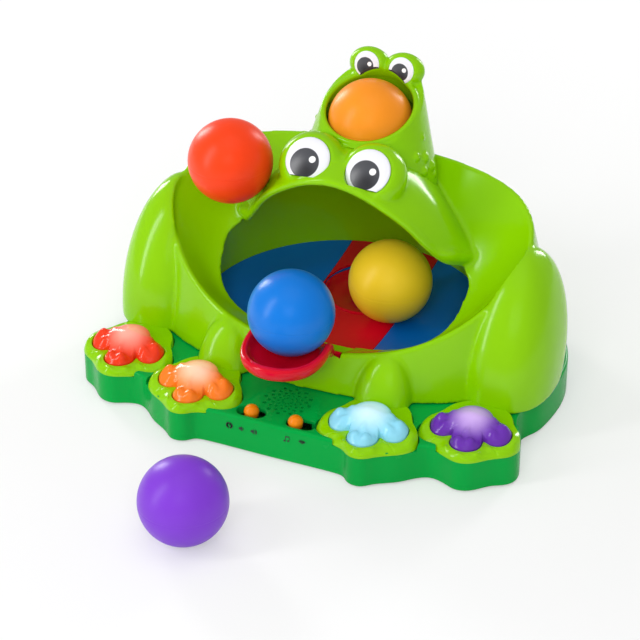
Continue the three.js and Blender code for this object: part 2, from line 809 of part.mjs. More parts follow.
function dishLayer(top, bottom, grow = 0) {
  const under = DISH_SHARES.slice().reverse().map((k) => dishRing(k, bottom, grow * k));
  const over = DISH_SHARES.map((k) => dishRing(k, top, grow * k));
  return ringSolid([...under, ...over]);
}

function strip(half, top, bottom, grow = 0) {
  const reach = DISH_R * 2;
  return solid(dishLayer(top, bottom, grow)).intersect(solid(box(-half, half, -reach, reach, 0, reach)));
}

function mouthDish() {
  const layer = solid(dishLayer(0, -DISH_THICK - STRIP_THICK));
  const groove = strip(STRIP_HALF + GAP, BALL_R, -STRIP_THICK - GAP, GAP * 2);
  return cut(layer, groove, solid(cylinder(CUP_R + GAP, 0, BALL_R * 2, 0, TUBE_Y)));
}

function throatStrip() {
  return strip(STRIP_HALF, 0, -STRIP_THICK).subtract(solid(cylinder(CUP_R + GAP, 0, BALL_R * 2, 0, TUBE_Y)));
}

function latheAt(profile, x, y, n) {
  const g = new THREE.LatheGeometry(profile.map((p) => new THREE.Vector2(p[0], p[1])), n);
  g.rotateX(Math.PI / 2);
  g.translate(x, y, 0);
  return g;
}

function launchCup() {
  const top = dishZ(DISH_SHARES[2]) - STRIP_THICK / 2;
  const t = CUP_WALL;
  const hole = NOZZLE_R + GAP;
  const z = CUP_FLOOR_Z;
  const profile = [[hole, z], [CUP_R - t, z], [CUP_R, z + t], [CUP_R, top], [CUP_R - t, top],
    [CUP_R - t * 2, z + t * 2], [hole, z + t], [hole, z]];
  return latheAt(profile, 0, TUBE_Y, ROUND_N);
}

// Round grid over the air outlet
function airGrille() {
  const z1 = CUP_FLOOR_Z + CUP_WALL;
  let g = solid(tube(NOZZLE_R, NOZZLE_R - CUP_WALL, CUP_FLOOR_Z, z1, 0, TUBE_Y, SMALL_N));
  const bar = CUP_WALL / 3;
  const reach = NOZZLE_R - CUP_WALL / 2;
  for (const turn of [0, 60, 120]) {
    const b = box(-reach, reach, -bar, bar, CUP_FLOOR_Z, z1);
    b.rotateZ(THREE.MathUtils.degToRad(turn));
    b.translate(0, TUBE_Y, 0);
    g = g.add(solid(b));
  }
  return g;
}

// Wall from the edge of the mouth floor up to the underside of the head
function mouthLiner() {
  const wall = (grow) => {
    const heights = [DISH_EDGE_Z - DISH_THICK, DISH_EDGE_Z, TUBE_BOTTOM];
    return heights.map((z) => {
      const lean = LINER_LEAN * Math.max(0, z - DISH_EDGE_Z);
      return around(DISH_N, (t) => {
        const r = DISH_R + GAP + grow - lean;
        return new THREE.Vector3(r * Math.sin(t), DISH_Y - r * Math.cos(t), z);
      });
    });
  };
  const outer = wall(LINER_WALL);
  const inner = wall(0);
  inner[0].forEach((p) => { p.z -= WALL; });
  inner[2].forEach((p) => { p.z += WALL; });
  const ring = solid(ringSolid(outer)).subtract(solid(ringSolid(inner)));
  const reach = DISH_R * 2;
  const back = solid(box(-reach, reach, LINER_FRONT_Y, reach, 0, reach));
  return ring.intersect(back).intersect(hollow);
}

function ballTube() {
  const flange = HEAD_BORE - GAP;
  const profile = [[TUBE_IN, TUBE_BOTTOM], [TUBE_OUT, TUBE_BOTTOM], [TUBE_OUT, TUBE_TOP - WALL],
    [flange, TUBE_TOP - WALL], [flange, TUBE_TOP], [TUBE_IN, TUBE_TOP], [TUBE_IN, TUBE_BOTTOM]];
  return latheAt(profile, 0, TUBE_Y, ROUND_N);
}

function tongueRing(share, drop) {
  return around(DISH_N, (t) => {
    const [x, y] = superPoint(t, TONGUE_HALF, TONGUE_LONG, TONGUE_LONG, TONGUE_POWER);
    const py = TONGUE_MID_Y + y * share;
    const front = THREE.MathUtils.clamp((PIN_Y - py) / CURL_RUN, 0, 1);
    const curl = TONGUE_CURL * share ** CURL_POWER * front;
    return new THREE.Vector3(x * share, py, table(TONGUE_Y, TONGUE_Z, py) + curl - drop);
  });
}

function tongue() {
  const t = TONGUE_THICK;
  const rings = TONGUE_SHARES.map(([share, drop]) => tongueRing(share, t * drop));
  const half = BARREL_R / 2;
  const web = box(-BARREL_HALF, BARREL_HALF, PIN_Y - half, PIN_Y + half, PIN_Z, TONGUE_Z[5] - t / 2);
  const g = stack([ringSolid(rings), web, rod(BARREL_R, -BARREL_HALF, BARREL_HALF, PIN_Y, PIN_Z)]);
  const reach = BARREL_R + GAP;
  const [z0, z1] = [PIN_Z - reach, PIN_Z + BARREL_R - GAP];
  const gap = box(-SPRING_LEN, SPRING_LEN, PIN_Y - reach, PIN_Y + reach, z0, z1);
  return cut(g, solid(rod(PIN_R + GAP, -BOSS_END, BOSS_END, PIN_Y, PIN_Z)), solid(gap));
}

function tongueSpring() {
  const g = tube(BARREL_R - GAP, PIN_R + GAP, GAP - SPRING_LEN, SPRING_LEN - GAP, 0, 0, SMALL_N);
  g.rotateY(Math.PI / 2);
  g.translate(0, PIN_Y, PIN_Z);
  return g;
}

// Base outline, right half from the front middle to the flank, then the round back
function baseOutline(inset) {
  const widest = Math.max(...BASE_HALF.map((p) => p[0]));
  const half = BASE_HALF.map(([x, y]) => [(x * BASE_HALF_X) / widest, y]);
  for (const deg of BACK_TURNS) {
    const a = THREE.MathUtils.degToRad(deg);
    half.push([(BASE_HALF_X - BACK_NARROW) * Math.cos(a), BASE_MID_Y + BASE_BACK * Math.sin(a)]);
  }
  const right = half.map((p) => new THREE.Vector2(p[0], p[1]));
  const left = right.slice(1).reverse().map((p) => new THREE.Vector2(-p.x, p.y));
  const loop = [...right, new THREE.Vector2(0, BASE_MID_Y + BASE_BACK), ...left];
  return inset ? insetLoop(loop, inset) : loop;
}

// Moves each corner of a loop inwards along the mean of its two edge normals
function insetLoop(loop, by) {
  const n = loop.length;
  return loop.map((p, i) => {
    const a = loop[(i + n - 1) % n];
    const b = loop[(i + 1) % n];
    const u = p.clone().sub(a).normalize();
    const v = b.clone().sub(p).normalize();
    const m = new THREE.Vector2(-u.y - v.y, u.x + v.x).normalize();
    const k = by / Math.max(CORNER_SHARE, m.x * -u.y + m.y * u.x);
    return new THREE.Vector2(p.x + m.x * k, p.y + m.y * k);
  });
}

function prism(loop, z0, z1) {
  const shape = new THREE.Shape(loop);
  const g = new THREE.ExtrudeGeometry(shape, { depth: z1 - z0, bevelEnabled: false });
  g.translate(0, 0, z0);
  return g;
}

// A block on an outline with its top edge drawn in
function chamfered(loop, z0, z1, edge) {
  const at = (ring, z) => ring.map((p) => new THREE.Vector3(p.x, p.y, z));
  const inner = insetLoop(loop, edge);
  const rings = [at(loop, z0), at(loop, z1 - edge), at(inner, z1)];
  return ringSolid(rings);
}

// Distance from the foot's middle to the edge of its paw, a soft union of circles
function pawReach(circles, dx, dy) {
  let sum = 0;
  for (const [x, y, r] of circles) {
    const along = x * dx + y * dy;
    const left = r * r - x * x - y * y + along * along;
    if (left > 0 && along + Math.sqrt(left) > 0) sum += (along + Math.sqrt(left)) ** PAW_POWER;
  }
  return sum ** (1 / PAW_POWER);
}

// Paw outline round a foot's middle, grown by a margin
function paw(circles, grow, foot) {
  const middle = new THREE.Vector2(foot.at[0], foot.at[1]);
  return around(PAW_N, (t) => {
    const dx = Math.sin(t);
    const dy = -Math.cos(t);
    const r = pawReach(circles, dx, dy) + grow;
    const p = new THREE.Vector2(r * dx, r * dy);
    return p.rotateAround(new THREE.Vector2(), THREE.MathUtils.degToRad(foot.turn)).add(middle);
  });
}

const FEET = [
  { name: 'red', at: [-FOOT_OUT[0], FOOT_OUT[1]], turn: -FOOT_OUT_TURN, color: 0xe8341c },
  { name: 'orange', at: [-FOOT_IN[0], FOOT_IN[1]], turn: -FOOT_IN_TURN, color: 0xf5822a },
  { name: 'light_blue', at: FOOT_IN, turn: FOOT_IN_TURN, color: 0x9fdcee },
  { name: 'purple', at: FOOT_OUT, turn: FOOT_OUT_TURN, color: 0x6b3fa8 },
];

function footBezel(foot) {
  const z0 = FOOT_FLOOR + GAP;
  const pad = solid(chamfered(paw(PAW_BEZEL, 0, foot), z0, BEZEL_TOP, BEZEL_EDGE));
  const edge = solid(chamfered(baseOutline(0), 0, BEZEL_TOP, BEZEL_EDGE));
  const hole = solid(prism(paw(PAW_BUTTON, PAW_FIT, foot), 0, BUTTON_TOP));
  const room = solid(prism(paw(PAW_BUTTON, PAW_FIT + FLANGE, foot), 0, z0 + FLANGE_THICK * 2.5));
  return cut(pad.intersect(edge), hole, room, clearance);
}

function footButton(foot) {
  const z0 = FOOT_FLOOR + FLANGE_THICK;
  const at = (k, grow, z) => paw(PAW_BUTTON, grow, foot).map((p) => {
    return new THREE.Vector3(lerp(foot.at[0], p.x, k), lerp(foot.at[1], p.y, k), z);
  });
  const rise = BUTTON_TOP - BUTTON_EDGE;
  const z1 = z0 + FLANGE_THICK;
  const rings = [at(1, FLANGE, z0), at(1, FLANGE, z1), at(1, 0, z1), at(1, 0, BUTTON_EDGE)];
  for (const [k, h] of DOME_SHARES) rings.push(at(k, 0, BUTTON_EDGE + rise * h));
  return capSolid(rings, new THREE.Vector3(foot.at[0], foot.at[1], BUTTON_TOP));
}

function baseDeck() {
  const outer = solid(chamfered(baseOutline(0), SKIRT_BOTTOM, DECK_TOP, DECK_EDGE));
  let room = solid(prism(baseOutline(WALL), 0, DECK_TOP - DECK_THICK));
  for (const foot of FEET) {
    room = room.subtract(solid(prism(paw(PAW_BEZEL, WALL, foot), FOOT_FLOOR - DECK_THICK, DECK_TOP)));
  }
  let deck = outer.subtract(room);
  const opening = around(BOWL_N, (t) => wallPoint(t, DECK_TOP, DECK_HOLE_IN));
  deck = deck.subtract(solid(prism(opening.map((p) => new THREE.Vector2(p.x, p.y)), 0, BEZEL_TOP)));
  for (const foot of FEET) {
    deck = deck.subtract(solid(prism(paw(PAW_BEZEL, GAP, foot), FOOT_FLOOR, BEZEL_TOP)));
    deck = deck.subtract(solid(prism(paw(PAW_BUTTON, PAW_FIT + FLANGE, foot), 0, BEZEL_TOP)));
  }
  for (const x of SLOT_X) deck = deck.subtract(solid(slot(x)));
  for (const g of grilleHoles()) deck = deck.subtract(solid(g));
  return deck;
}

function slot(x) {
  const half = (SLOT_LONG - SLOT_WIDE) / 2;
  const shape = new THREE.Shape();
  shape.absarc(half, 0, SLOT_WIDE / 2, -Math.PI / 2, Math.PI / 2);
  shape.absarc(-half, 0, SLOT_WIDE / 2, Math.PI / 2, Math.PI * 1.5);
  const depth = DECK_THICK * 3;
  const g = new THREE.ExtrudeGeometry(shape, { depth, bevelEnabled: false, curveSegments: 6 });
  g.translate(x, KNOB_Y, DECK_TOP - DECK_THICK * 2);
  return g;
}

function grilleHoles() {
  const holes = [];
  for (const [share, count] of GRILLE_SHARES) {
    for (let i = 0; i < count; i++) {
      const a = (2 * Math.PI * (i + share / 2)) / count;
      const r = GRILLE_R * share;
      const z0 = DECK_TOP - DECK_THICK * 2;
      const [x, y] = [r * Math.cos(a), SPEAKER_Y + r * Math.sin(a)];
      holes.push(cylinder(HOLE_DOT, z0, BEZEL_TOP, x, y, GRILLE_SIDES));
    }
  }
  return holes;
}

function knob(x) {
  const ball = new THREE.SphereGeometry(KNOB_R, SMALL_N, TINY_N);
  ball.translate(x, KNOB_Y, KNOB_Z);
  const low = DECK_TOP - DECK_THICK - GAP * 2;
  const [hx, hy] = PLATE_HALF;
  const plate = box(x - hx, x + hx, KNOB_Y - hy, KNOB_Y + hy, low - DOOR_THICK, low);
  return stack([ball, cylinder(KNOB_R / 2, low - DOOR_THICK, KNOB_Z, x, KNOB_Y, SMALL_N), plate]);
}

function baseTray() {
  const outline = baseOutline(WALL + GAP * 2);
  let tray = solid(prism(outline, SKIRT_BOTTOM, TRAY_TOP));
  tray = tray.add(solid(cylinder(PAD_R, 0, TRAY_TOP, 0, FOOTPRINT_MID_Y)));
  for (const foot of FEET) tray = tray.add(solid(footPost(foot)));
  for (const [x, y] of POSTS) {
    tray = tray.add(solid(cylinder(POST_R, SKIRT_BOTTOM, DRUM_BOTTOM - GAP, x, y, TINY_N)));
  }
  const seat = DECK_TOP - DECK_THICK - GAP * 2 - SPEAKER_H;
  tray = tray.add(solid(cylinder(SEAT_R, SKIRT_BOTTOM, seat, 0, SPEAKER_Y, SMALL_N)));
  const d = doorSize(GAP);
  tray = tray.subtract(solid(box(-d.x, d.x, d.y0, d.y1, 0, TRAY_TOP * 2)));
  for (const [x, y] of SCREWS) {
    tray = tray.subtract(solid(cylinder(SCREW_R + GAP, -WALL, TRAY_TOP * 2, x, y, SMALL_N)));
  }
  for (let i = -2; i <= 2; i++) {
    const x = i * VENT_PITCH;
    const vent = box(x - VENT_HALF, x + VENT_HALF, VENT_Y[0], VENT_Y[1], 0, TRAY_TOP * 2);
    tray = tray.subtract(solid(vent));
  }
  return tray;
}

function footPost(foot) {
  const [x, y] = foot.at;
  const half = SWITCH_SIZE * POST_SHARES[0];
  const back = y + SWITCH_SIZE * POST_SHARES[1];
  return box(x - half, x + half, y - SWITCH_SIZE, back, SKIRT_BOTTOM, switchTop() - SWITCH_H - GAP);
}

function switchTop() {
  return FOOT_FLOOR + FLANGE_THICK - PRESS - GAP;
}

function doorSize(grow) {
  return { x: BOX_HALF_X - DOOR_IN + grow, y0: BOX_Y[0] + DOOR_IN - grow, y1: BOX_Y[1] - DOOR_IN + grow };
}

function batteryBox() {
  const outer = box(-BOX_HALF_X, BOX_HALF_X, BOX_Y[0], BOX_Y[1], TRAY_TOP + GAP, BOX_TOP);
  const t = BOX_WALL;
  const inner = box(t - BOX_HALF_X, BOX_HALF_X - t, BOX_Y[0] + t, BOX_Y[1] - t, 0, BOX_TOP - t);
  return solid(outer).subtract(solid(inner));
}

// A cell along Y, its tip to the front or the back
function cell(x, way) {
  const body = rod(CELL_R, BOX_WALL - CELL_LEN / 2, CELL_LEN / 2, 0, 0);
  const tip = rod(CELL_R / 3, -CELL_LEN / 2, 0, 0, 0, TINY_N);
  const g = geometryOf(stack([body, tip]));
  g.rotateZ((way * Math.PI) / 2);
  g.translate(x, (BOX_Y[0] + BOX_Y[1]) / 2, CELL_Z);
  return g;
}

function blowerHousing() {
  const t = DRUM_WALL;
  const block = (d) => {
    const [z0, z1] = [DRUM_BOTTOM + d, DRUM_TOP - d];
    const half = DUCT_HALF - d;
    return stack([cylinder(DRUM_R - d, z0, z1, 0, DRUM_Y, TOWER_N), box(-half, half, DRUM_Y, TUBE_Y, z0, z1),
      cylinder(half, z0, z1, 0, TUBE_Y)]);
  };
  const collar = solid(cylinder(NOZZLE_R + t, DRUM_TOP - t, CUP_FLOOR_Z - GAP, 0, TUBE_Y));
  return cut(block(0).add(collar), block(t), solid(cylinder(NOZZLE_R, DRUM_TOP - t * 2, CUP_R, 0, TUBE_Y)),
    solid(cylinder(DRUM_R * INLET_SHARE, 0, DRUM_BOTTOM + t * 2, 0, DRUM_Y)),
    solid(cylinder(MOTOR_R + GAP, DRUM_TOP - t * 2, CUP_R, 0, DRUM_Y)));
}

function fan() {
  const z0 = DRUM_BOTTOM + DRUM_WALL * 2;
  const z1 = z0 + DRUM_WALL;
  const disc = cylinder(FAN_R, z0, z1, 0, DRUM_Y, TOWER_N);
  const hub = cylinder(FAN_R * HUB_SHARE, z0, MOTOR_Z - GAP, 0, DRUM_Y, SMALL_N);
  const [r0, r1] = BLADE_SHARES.map((k) => FAN_R * k);
  let g = stack([disc, hub]);
  for (let i = 0; i < FAN_BLADES; i++) {
    const b = box(r0, r1, -GAP * 2, GAP * 2, z0 + DRUM_WALL / 2, FAN_TOP);
    b.rotateZ((2 * Math.PI * i) / FAN_BLADES);
    b.translate(0, DRUM_Y, 0);
    g = g.add(solid(b));
  }
  return g;
}

function screw(x, y) {
  const head = cylinder(SCREW_HEAD, SKIRT_BOTTOM - SCREW_SINK, SKIRT_BOTTOM - GAP, x, y, SMALL_N);
  return stack([head, cylinder(SCREW_R, SKIRT_BOTTOM - SCREW_SINK, TRAY_TOP + SCREW_R * 2, x, y, TINY_N)]);
}

function ball(name, at, color) {
  const g = new THREE.SphereGeometry(BALL_R, BALL_N, SMALL_N);
  add(name, g, mat(color, 0.4)).position.set(at[0], at[1], at[2]);
}

add('base_tray', geometryOf(baseTray()), baseGreen);
add('base_deck', geometryOf(baseDeck()), baseGreen);
add('body_shell', geometryOf(bodyShell()), green);
add('baby_frog_shell', geometryOf(babyFrog()), green);
add('mouth_liner', geometryOf(mouthLiner()), green);
add('mouth_dish', geometryOf(mouthDish()), blue);
add('throat_strip', geometryOf(throatStrip()), red);
add('launch_cup', launchCup(), red);
add('air_grille', geometryOf(airGrille()), red);
add('ball_tube', ballTube(), green);
add('tongue', geometryOf(tongue()), red);
add('tongue_pin', rod(PIN_R, -PIN_HALF, PIN_HALF, PIN_Y, PIN_Z), steel);
add('tongue_spring', tongueSpring(), steel);
for (const [side, s] of [['left', -1], ['right', 1]]) {
  add(`eye_${side}`, geometryOf(eyePlate(s)), white);
  add(`baby_eye_${side}`, geometryOf(babyEye(s)), white);
}
for (const foot of FEET) {
  const [x, y] = foot.at;
  add(`foot_bezel_${foot.name}`, geometryOf(footBezel(foot)), green);
  add(`foot_button_${foot.name}`, footButton(foot), mat(foot.color, 0.25));
  const top = switchTop();
  const s = SWITCH_SIZE / 2;
  add(`button_switch_${foot.name}`, box(x - s, x + s, y - s, y + s, top - SWITCH_H, top), dark);
  const led = cylinder(LED_R, top - SWITCH_H, top - SWITCH_H + LED_H, x, y + SWITCH_SIZE, SMALL_N);
  add(`button_led_${foot.name}`, led, white);
}
add('volume_knob', geometryOf(knob(KNOB_X[0])), orange);
add('mode_knob', geometryOf(knob(KNOB_X[1])), orange);
const speakerTop = DECK_TOP - DECK_THICK - GAP;
add('speaker', cylinder(SPEAKER_R, speakerTop - SPEAKER_H, speakerTop, 0, SPEAKER_Y), dark);
const boardBox = [...BOARD_X, ...BOARD_Y, DRUM_BOTTOM, DRUM_BOTTOM + BOARD_THICK];
add('circuit_board', box(...boardBox), board);
add('blower_housing', geometryOf(blowerHousing()), dark);
add('fan_impeller', geometryOf(fan()), grey);
add('blower_motor', cylinder(MOTOR_R, MOTOR_Z, CUP_FLOOR_Z, 0, DRUM_Y), steel);
add('battery_box', geometryOf(batteryBox()), dark);
for (let i = 0; i < 4; i++) {
  add(`battery_${i + 1}`, cell(CELL_PITCH * (i - 1.5), i % 2 ? 1 : -1), steel);
}
const door = doorSize(0);
const doorBox = [-door.x, door.x, door.y0, door.y1, SKIRT_BOTTOM, SKIRT_BOTTOM + DOOR_THICK];
add('battery_door', box(...doorBox), baseGreen);
SCREWS.forEach(([x, y], i) => add(`base_screw_${i + 1}`, geometryOf(screw(x, y)), steel));
RUBBERS.forEach(([x, y], i) => {
  add(`rubber_foot_${i + 1}`, cylinder(RUBBER_R, 0, RUBBER_H, x, y, SMALL_N), rubber);
});
ball('ball_orange', BALL_ORANGE, 0xf39a2e);
ball('ball_red', BALL_RED, 0xff4a22);
ball('ball_blue', BALL_BLUE, 0x1c84e0);
ball('ball_yellow', BALL_YELLOW, 0xf0cc3c);
ball('ball_purple', BALL_PURPLE, 0x7d3fc8);

export default frog;
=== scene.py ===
"""Frog ball popper: funnel body with a wide mouth, tongue lever, small frog outlet, foot buttons, balls."""
import json
import math

import bmesh
import bpy
import numpy as np
from mathutils import Matrix, Vector


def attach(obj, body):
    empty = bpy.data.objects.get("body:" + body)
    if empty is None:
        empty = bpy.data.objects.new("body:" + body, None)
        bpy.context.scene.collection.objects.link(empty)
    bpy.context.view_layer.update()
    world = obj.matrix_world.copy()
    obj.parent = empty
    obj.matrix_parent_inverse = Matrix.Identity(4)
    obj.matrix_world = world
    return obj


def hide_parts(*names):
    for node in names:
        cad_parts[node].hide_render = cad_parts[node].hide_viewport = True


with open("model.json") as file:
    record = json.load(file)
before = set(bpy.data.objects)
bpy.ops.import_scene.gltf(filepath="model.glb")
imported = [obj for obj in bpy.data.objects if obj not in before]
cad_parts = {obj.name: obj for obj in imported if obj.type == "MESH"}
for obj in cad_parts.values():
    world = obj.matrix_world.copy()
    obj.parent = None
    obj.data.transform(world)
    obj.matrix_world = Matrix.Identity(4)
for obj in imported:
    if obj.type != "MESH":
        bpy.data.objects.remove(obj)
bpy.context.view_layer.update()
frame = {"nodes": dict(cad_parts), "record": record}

# Sizes in millimetres. A drawn y less MID_Y is the y of the frame.
MID_Y = 18.5
WALL, GAP, BALL_R = 3.0, 0.35, 30.0
SKIRT_BOTTOM, DECK_TOP, DECK_THICK = 1.5, 27.5, 3.0

BOWL_Y, BOWL_SIDE, BOWL_FRONT, BOWL_BACK = 30.0, 150.0, 90.0, 120.0
SIDE_LEAN, FRONT_LEAN, BACK_LEAN, BACK_LEAN_H = 0.17, 0.21, 56.0, 119.0
BOWL_POWER, RIM_LAND, DOWN = 2.1, 2.6, 1.2
RIM_Y = (-60, -54, -40, -29, -11, 29, 63, 94, 120)
RIM_Z = (50, 56, 68, 78, 94, 121, 139, 147, 149)
HOLE_Y, HOLE_SIDE, HOLE_FRONT, HOLE_BACK, HOLE_POWER = 21.0, 92.0, 45.0, 17.4, 2.7
HOLE_Z, HOLE_SLOPE, FUNNEL_POWER = 68.0, 0.9, (1.25, 1.7)
THIGH_C, THIGH_R = (132, 11.8, 47.2), (32.8, 45.1, 76)
LEG_C, LEG_R = (60, -52, 26), (20, 16.5, 36)
BLOB_POWER, BLOB_SHEAR = 2.4, 0.2

LIP = ((86, 37, 99), (76, 19, 108), (66, 9, 122), (54, 2, 138), (40, -3, 150), (20, -7, 161.5),
       (0, -8, 165.5))
HOOD_FOOT = ((88, 41, 99), (88, 46, 103), (76, 55, 112), (60, 67, 122), (42, 79, 134), (20, 90, 141),
             (0, 94, 143))
HOOD_BULGE, HOOD_POWER, HOOD_FLOOR = 17.0, 0.7, 40.0
LIP_ROLL, RING_ROLL = 3.0, 2.25
LIP_END = ((92, 47, 88), (89.5, 42, 92.5))
CORNER = ((91, 47, 94), (88, 41, 100), (83.5, 31.5, 104), (77, 20.5, 109.5), (71, 14, 115))
CORNER_R = (2.5, 4.6, 4.6, 1.5)

EYE_C, EYE_TILT, EYE_R, EYE_THICK = (22.5, 7.5, 168.6), 47.0, 16.0, 3.4
EYE_BULGE, EYE_SINK, EYE_FLAT = (24.5, 24.0, 17.0), 11.0, 0.8
BABY_EYE_C, BABY_EYE_TILT, BABY_EYE_R = (13.1, 88.4, 207.9), 72.0, 9.3
BABY_BULGE, BABY_SINK = (15.2, 12.1, 9.5), 5.3
BROW_C, BROW_R = (0, 92, 197), (20, 10, 9)
LID_SHARE = 0.8
WARTS = ((40.9, 50.6, 162.8, 3.8), (44.1, 59.8, 159.1, 4.2), (45.6, 54.6, 150.9, 3.8),
         (46.3, 66.1, 150.2, 4.4), (47.6, 67.0, 143.2, 3.4), (40.4, 62.5, 172.7, 2.6))
WART_SINK = 0.45

TOWER = ((118, 60, 50), (135, 61, 49.5), (150, 62.5, 46.5), (165, 65, 42.7), (178, 68, 39.2),
         (190, 71, 35.8), (205, 75, 30.4), (216, 79, 22))
TOWER_TOP = 221
RING_Z, RING_SLOPE, EXIT_TILT, EXIT_R = 160.4, 0.445, 24.0, 30.7
OUTLET_C, CHAMBER_R = (0, 63.8, 184.6), 31.2
TUBE_Y, TUBE_IN, TUBE_TOP, TUBE_BOTTOM, HEAD_BORE = 65.5, 32.0, 166.0, 142.0, 35.5

DISH_Y, DISH_R, DISH_EDGE_Z, DISH_FLOOR_Z, DISH_THICK, DISH_FIT = 17.0, 104.0, 46.0, 37.0, 2.6, 2.0
DISH_POWER, STRIP_HALF, STRIP_THICK = 2.2, 34.5, 1.6
CUP_R, CUP_FLOOR_Z, CUP_WALL, NOZZLE_R = 33.5, 31.0, 2.0, 12.0
FAR, THROUGH = 220, (0, 40)
LINER_WALL, LINER_LEAN, LINER_FRONT_Y = 2.4, 0.25, -25.0

TONGUE_HALF, TONGUE_LONG, TONGUE_MID_Y, TONGUE_POWER, TONGUE_X = 30.5, 38.5, -70.0, 2.1, -3.5
TONGUE_THICK, TONGUE_CURL, CURL_RUN, CURL_POWER, NECK_HALF = 4.2, 12.0, 18.0, 1.8, 25.8
PIN_Y, PIN_Z, PIN_R, BARREL_R = -47.0, 49.4, 1.6, 3.4
COIL_HALF, COIL_R, COIL_TURNS, COIL_WIRE, COIL_ROOM = 8.2, 2.6, 9, 0.38, 9
TONGUE_Y = (-104, -90, -75, -62, -54, -45, -30)
TONGUE_Z = (58.5, 57.5, 58.5, 60.5, 60.5, 57, 50)
NOTCH_HALF, NOTCH_Y, NOTCH_Z, PIN_HALF = 28.3, (-53, -18), 45.4, 40.0

FOOT_FLOOR, BEZEL_TOP, BUTTON_TOP, BUTTON_EDGE = 23.5, 33.0, 41.8, 34.5
FEET = {"red": (-130, -67, -4), "orange": (-65, -90, -2), "light_blue": (65, -90, 2),
        "purple": (130, -67, 4)}
PAW_BUTTON = ((0, 4, 14.5), (18, 1, 10), (-18, 1, 10), (0, -11, 10.5))
PAW_BEZEL = ((0, 10, 21), (20, 0, 14.5), (-20, 0, 14.5), (0, -13, 16.5), (0, 15, 25))
PAW_FIT, PAW_POWER, TOE_DROP, TOE_REACH, BUTTON_ROUND = 0.7, 12, 3.5, 3.0, 1.6

BASE_HALF = ((0, -110), (52, -110), (58, -114.5), (64, -118), (72, -117.5), (77, -112), (85, -107),
             (93, -102), (101, -94), (110, -88.5), (121, -91), (129, -95), (138, -93.5), (144, -88.5),
             (151, -81), (160, -76), (164.5, -67), (161, -52), (153, -38), (151, -21), (159, -3))
BASE_HALF_X, BASE_MID_Y, BASE_BACK, BASE_ROUND = 162.0, 25.0, 130.0, 2.2
BASE_LIMITS = (164.4, -117.9, 154.9)
KNOB_Y, KNOB_Z, KNOB_R, KNOB_LOW = -99.5, 27.2, 5.3, DECK_TOP - DECK_THICK - GAP * 2
KNOBS = {"volume": -17.5, "mode": 15.5}
SLOT_X, SLOT_LONG, SLOT_WIDE = (-17.5, 19.5), 21.0, 12.0
PLATE_HALF, PLATE_DEEP, PLATE_THICK, PLATE_TRAVEL = 3.2, 6.4, 2.4, ((-4.8, 4.8), (0.0, 7.5))
SPEAKER_Y = -78.0
SPEAKER_HOLES = {"Rays": 12, "Rings": 5, "First": 0.0036, "Pitch": 0.0031, "Hole": 0.00075,
                 "Growth": 0.00017, "Depth": 0.02}
ICON_Y, SEAM_DEPTH = -110.0, 0.12

# Voxel size in metres, smoothing rounds and triangle limit of the softened skins.
BODY_SKIN, BABY_SKIN = (0.00135, 9, 190000), (0.0009, 5, 130000)

BALLS = {"orange": (0, 64.1, 177), "red": (-81.7, 6.4, 155.8), "blue": (-3, -64.8, 90.5),
         "yellow": (29.1, 34.7, 69.3), "purple": (-11.8, -214.9, 30)}


# ---------------------------------------------------------------- materials

class Wire:
    """A number or a colour that varies. Arithmetic on it adds nodes to its tree."""

    def __init__(self, owner, socket):
        self.owner, self.socket = owner, socket

    def other(self, name):
        """Another output of the same node."""
        return Wire(self.owner, self.socket.node.outputs[name])

    def __add__(self, other): return self.owner.maths("ADD", self, other)
    def __radd__(self, other): return self.owner.maths("ADD", other, self)
    def __sub__(self, other): return self.owner.maths("SUBTRACT", self, other)
    def __rsub__(self, other): return self.owner.maths("SUBTRACT", other, self)
    def __mul__(self, other): return self.owner.maths("MULTIPLY", self, other)
    def __rmul__(self, other): return self.owner.maths("MULTIPLY", other, self)
    def __truediv__(self, other): return self.owner.maths("DIVIDE", self, other)
    def __rtruediv__(self, other): return self.owner.maths("DIVIDE", other, self)


class Nodes:
    """A tree of nodes written as expressions."""

    def __init__(self, tree):
        self.tree = tree
        tree.nodes.clear()

    def node(self, kind, settings=None, values=None, output=0):
        made = self.tree.nodes.new(kind)
        for key, value in (settings or {}).items():
            setattr(made, key, value)
        for key, value in (values or {}).items():
            if isinstance(value, Wire):
                self.tree.links.new(value.socket, made.inputs[key])
            else:
                made.inputs[key].default_value = value
        return Wire(self, made.outputs[output]) if made.outputs else made

    def maths(self, operation, first, second=0.0):
        return self.node("ShaderNodeMath", {"operation": operation}, {0: first, 1: second})

    def seen(self):
        """1 for what the camera sees directly."""
        return self.node("ShaderNodeLightPath").other("Is Camera Ray")


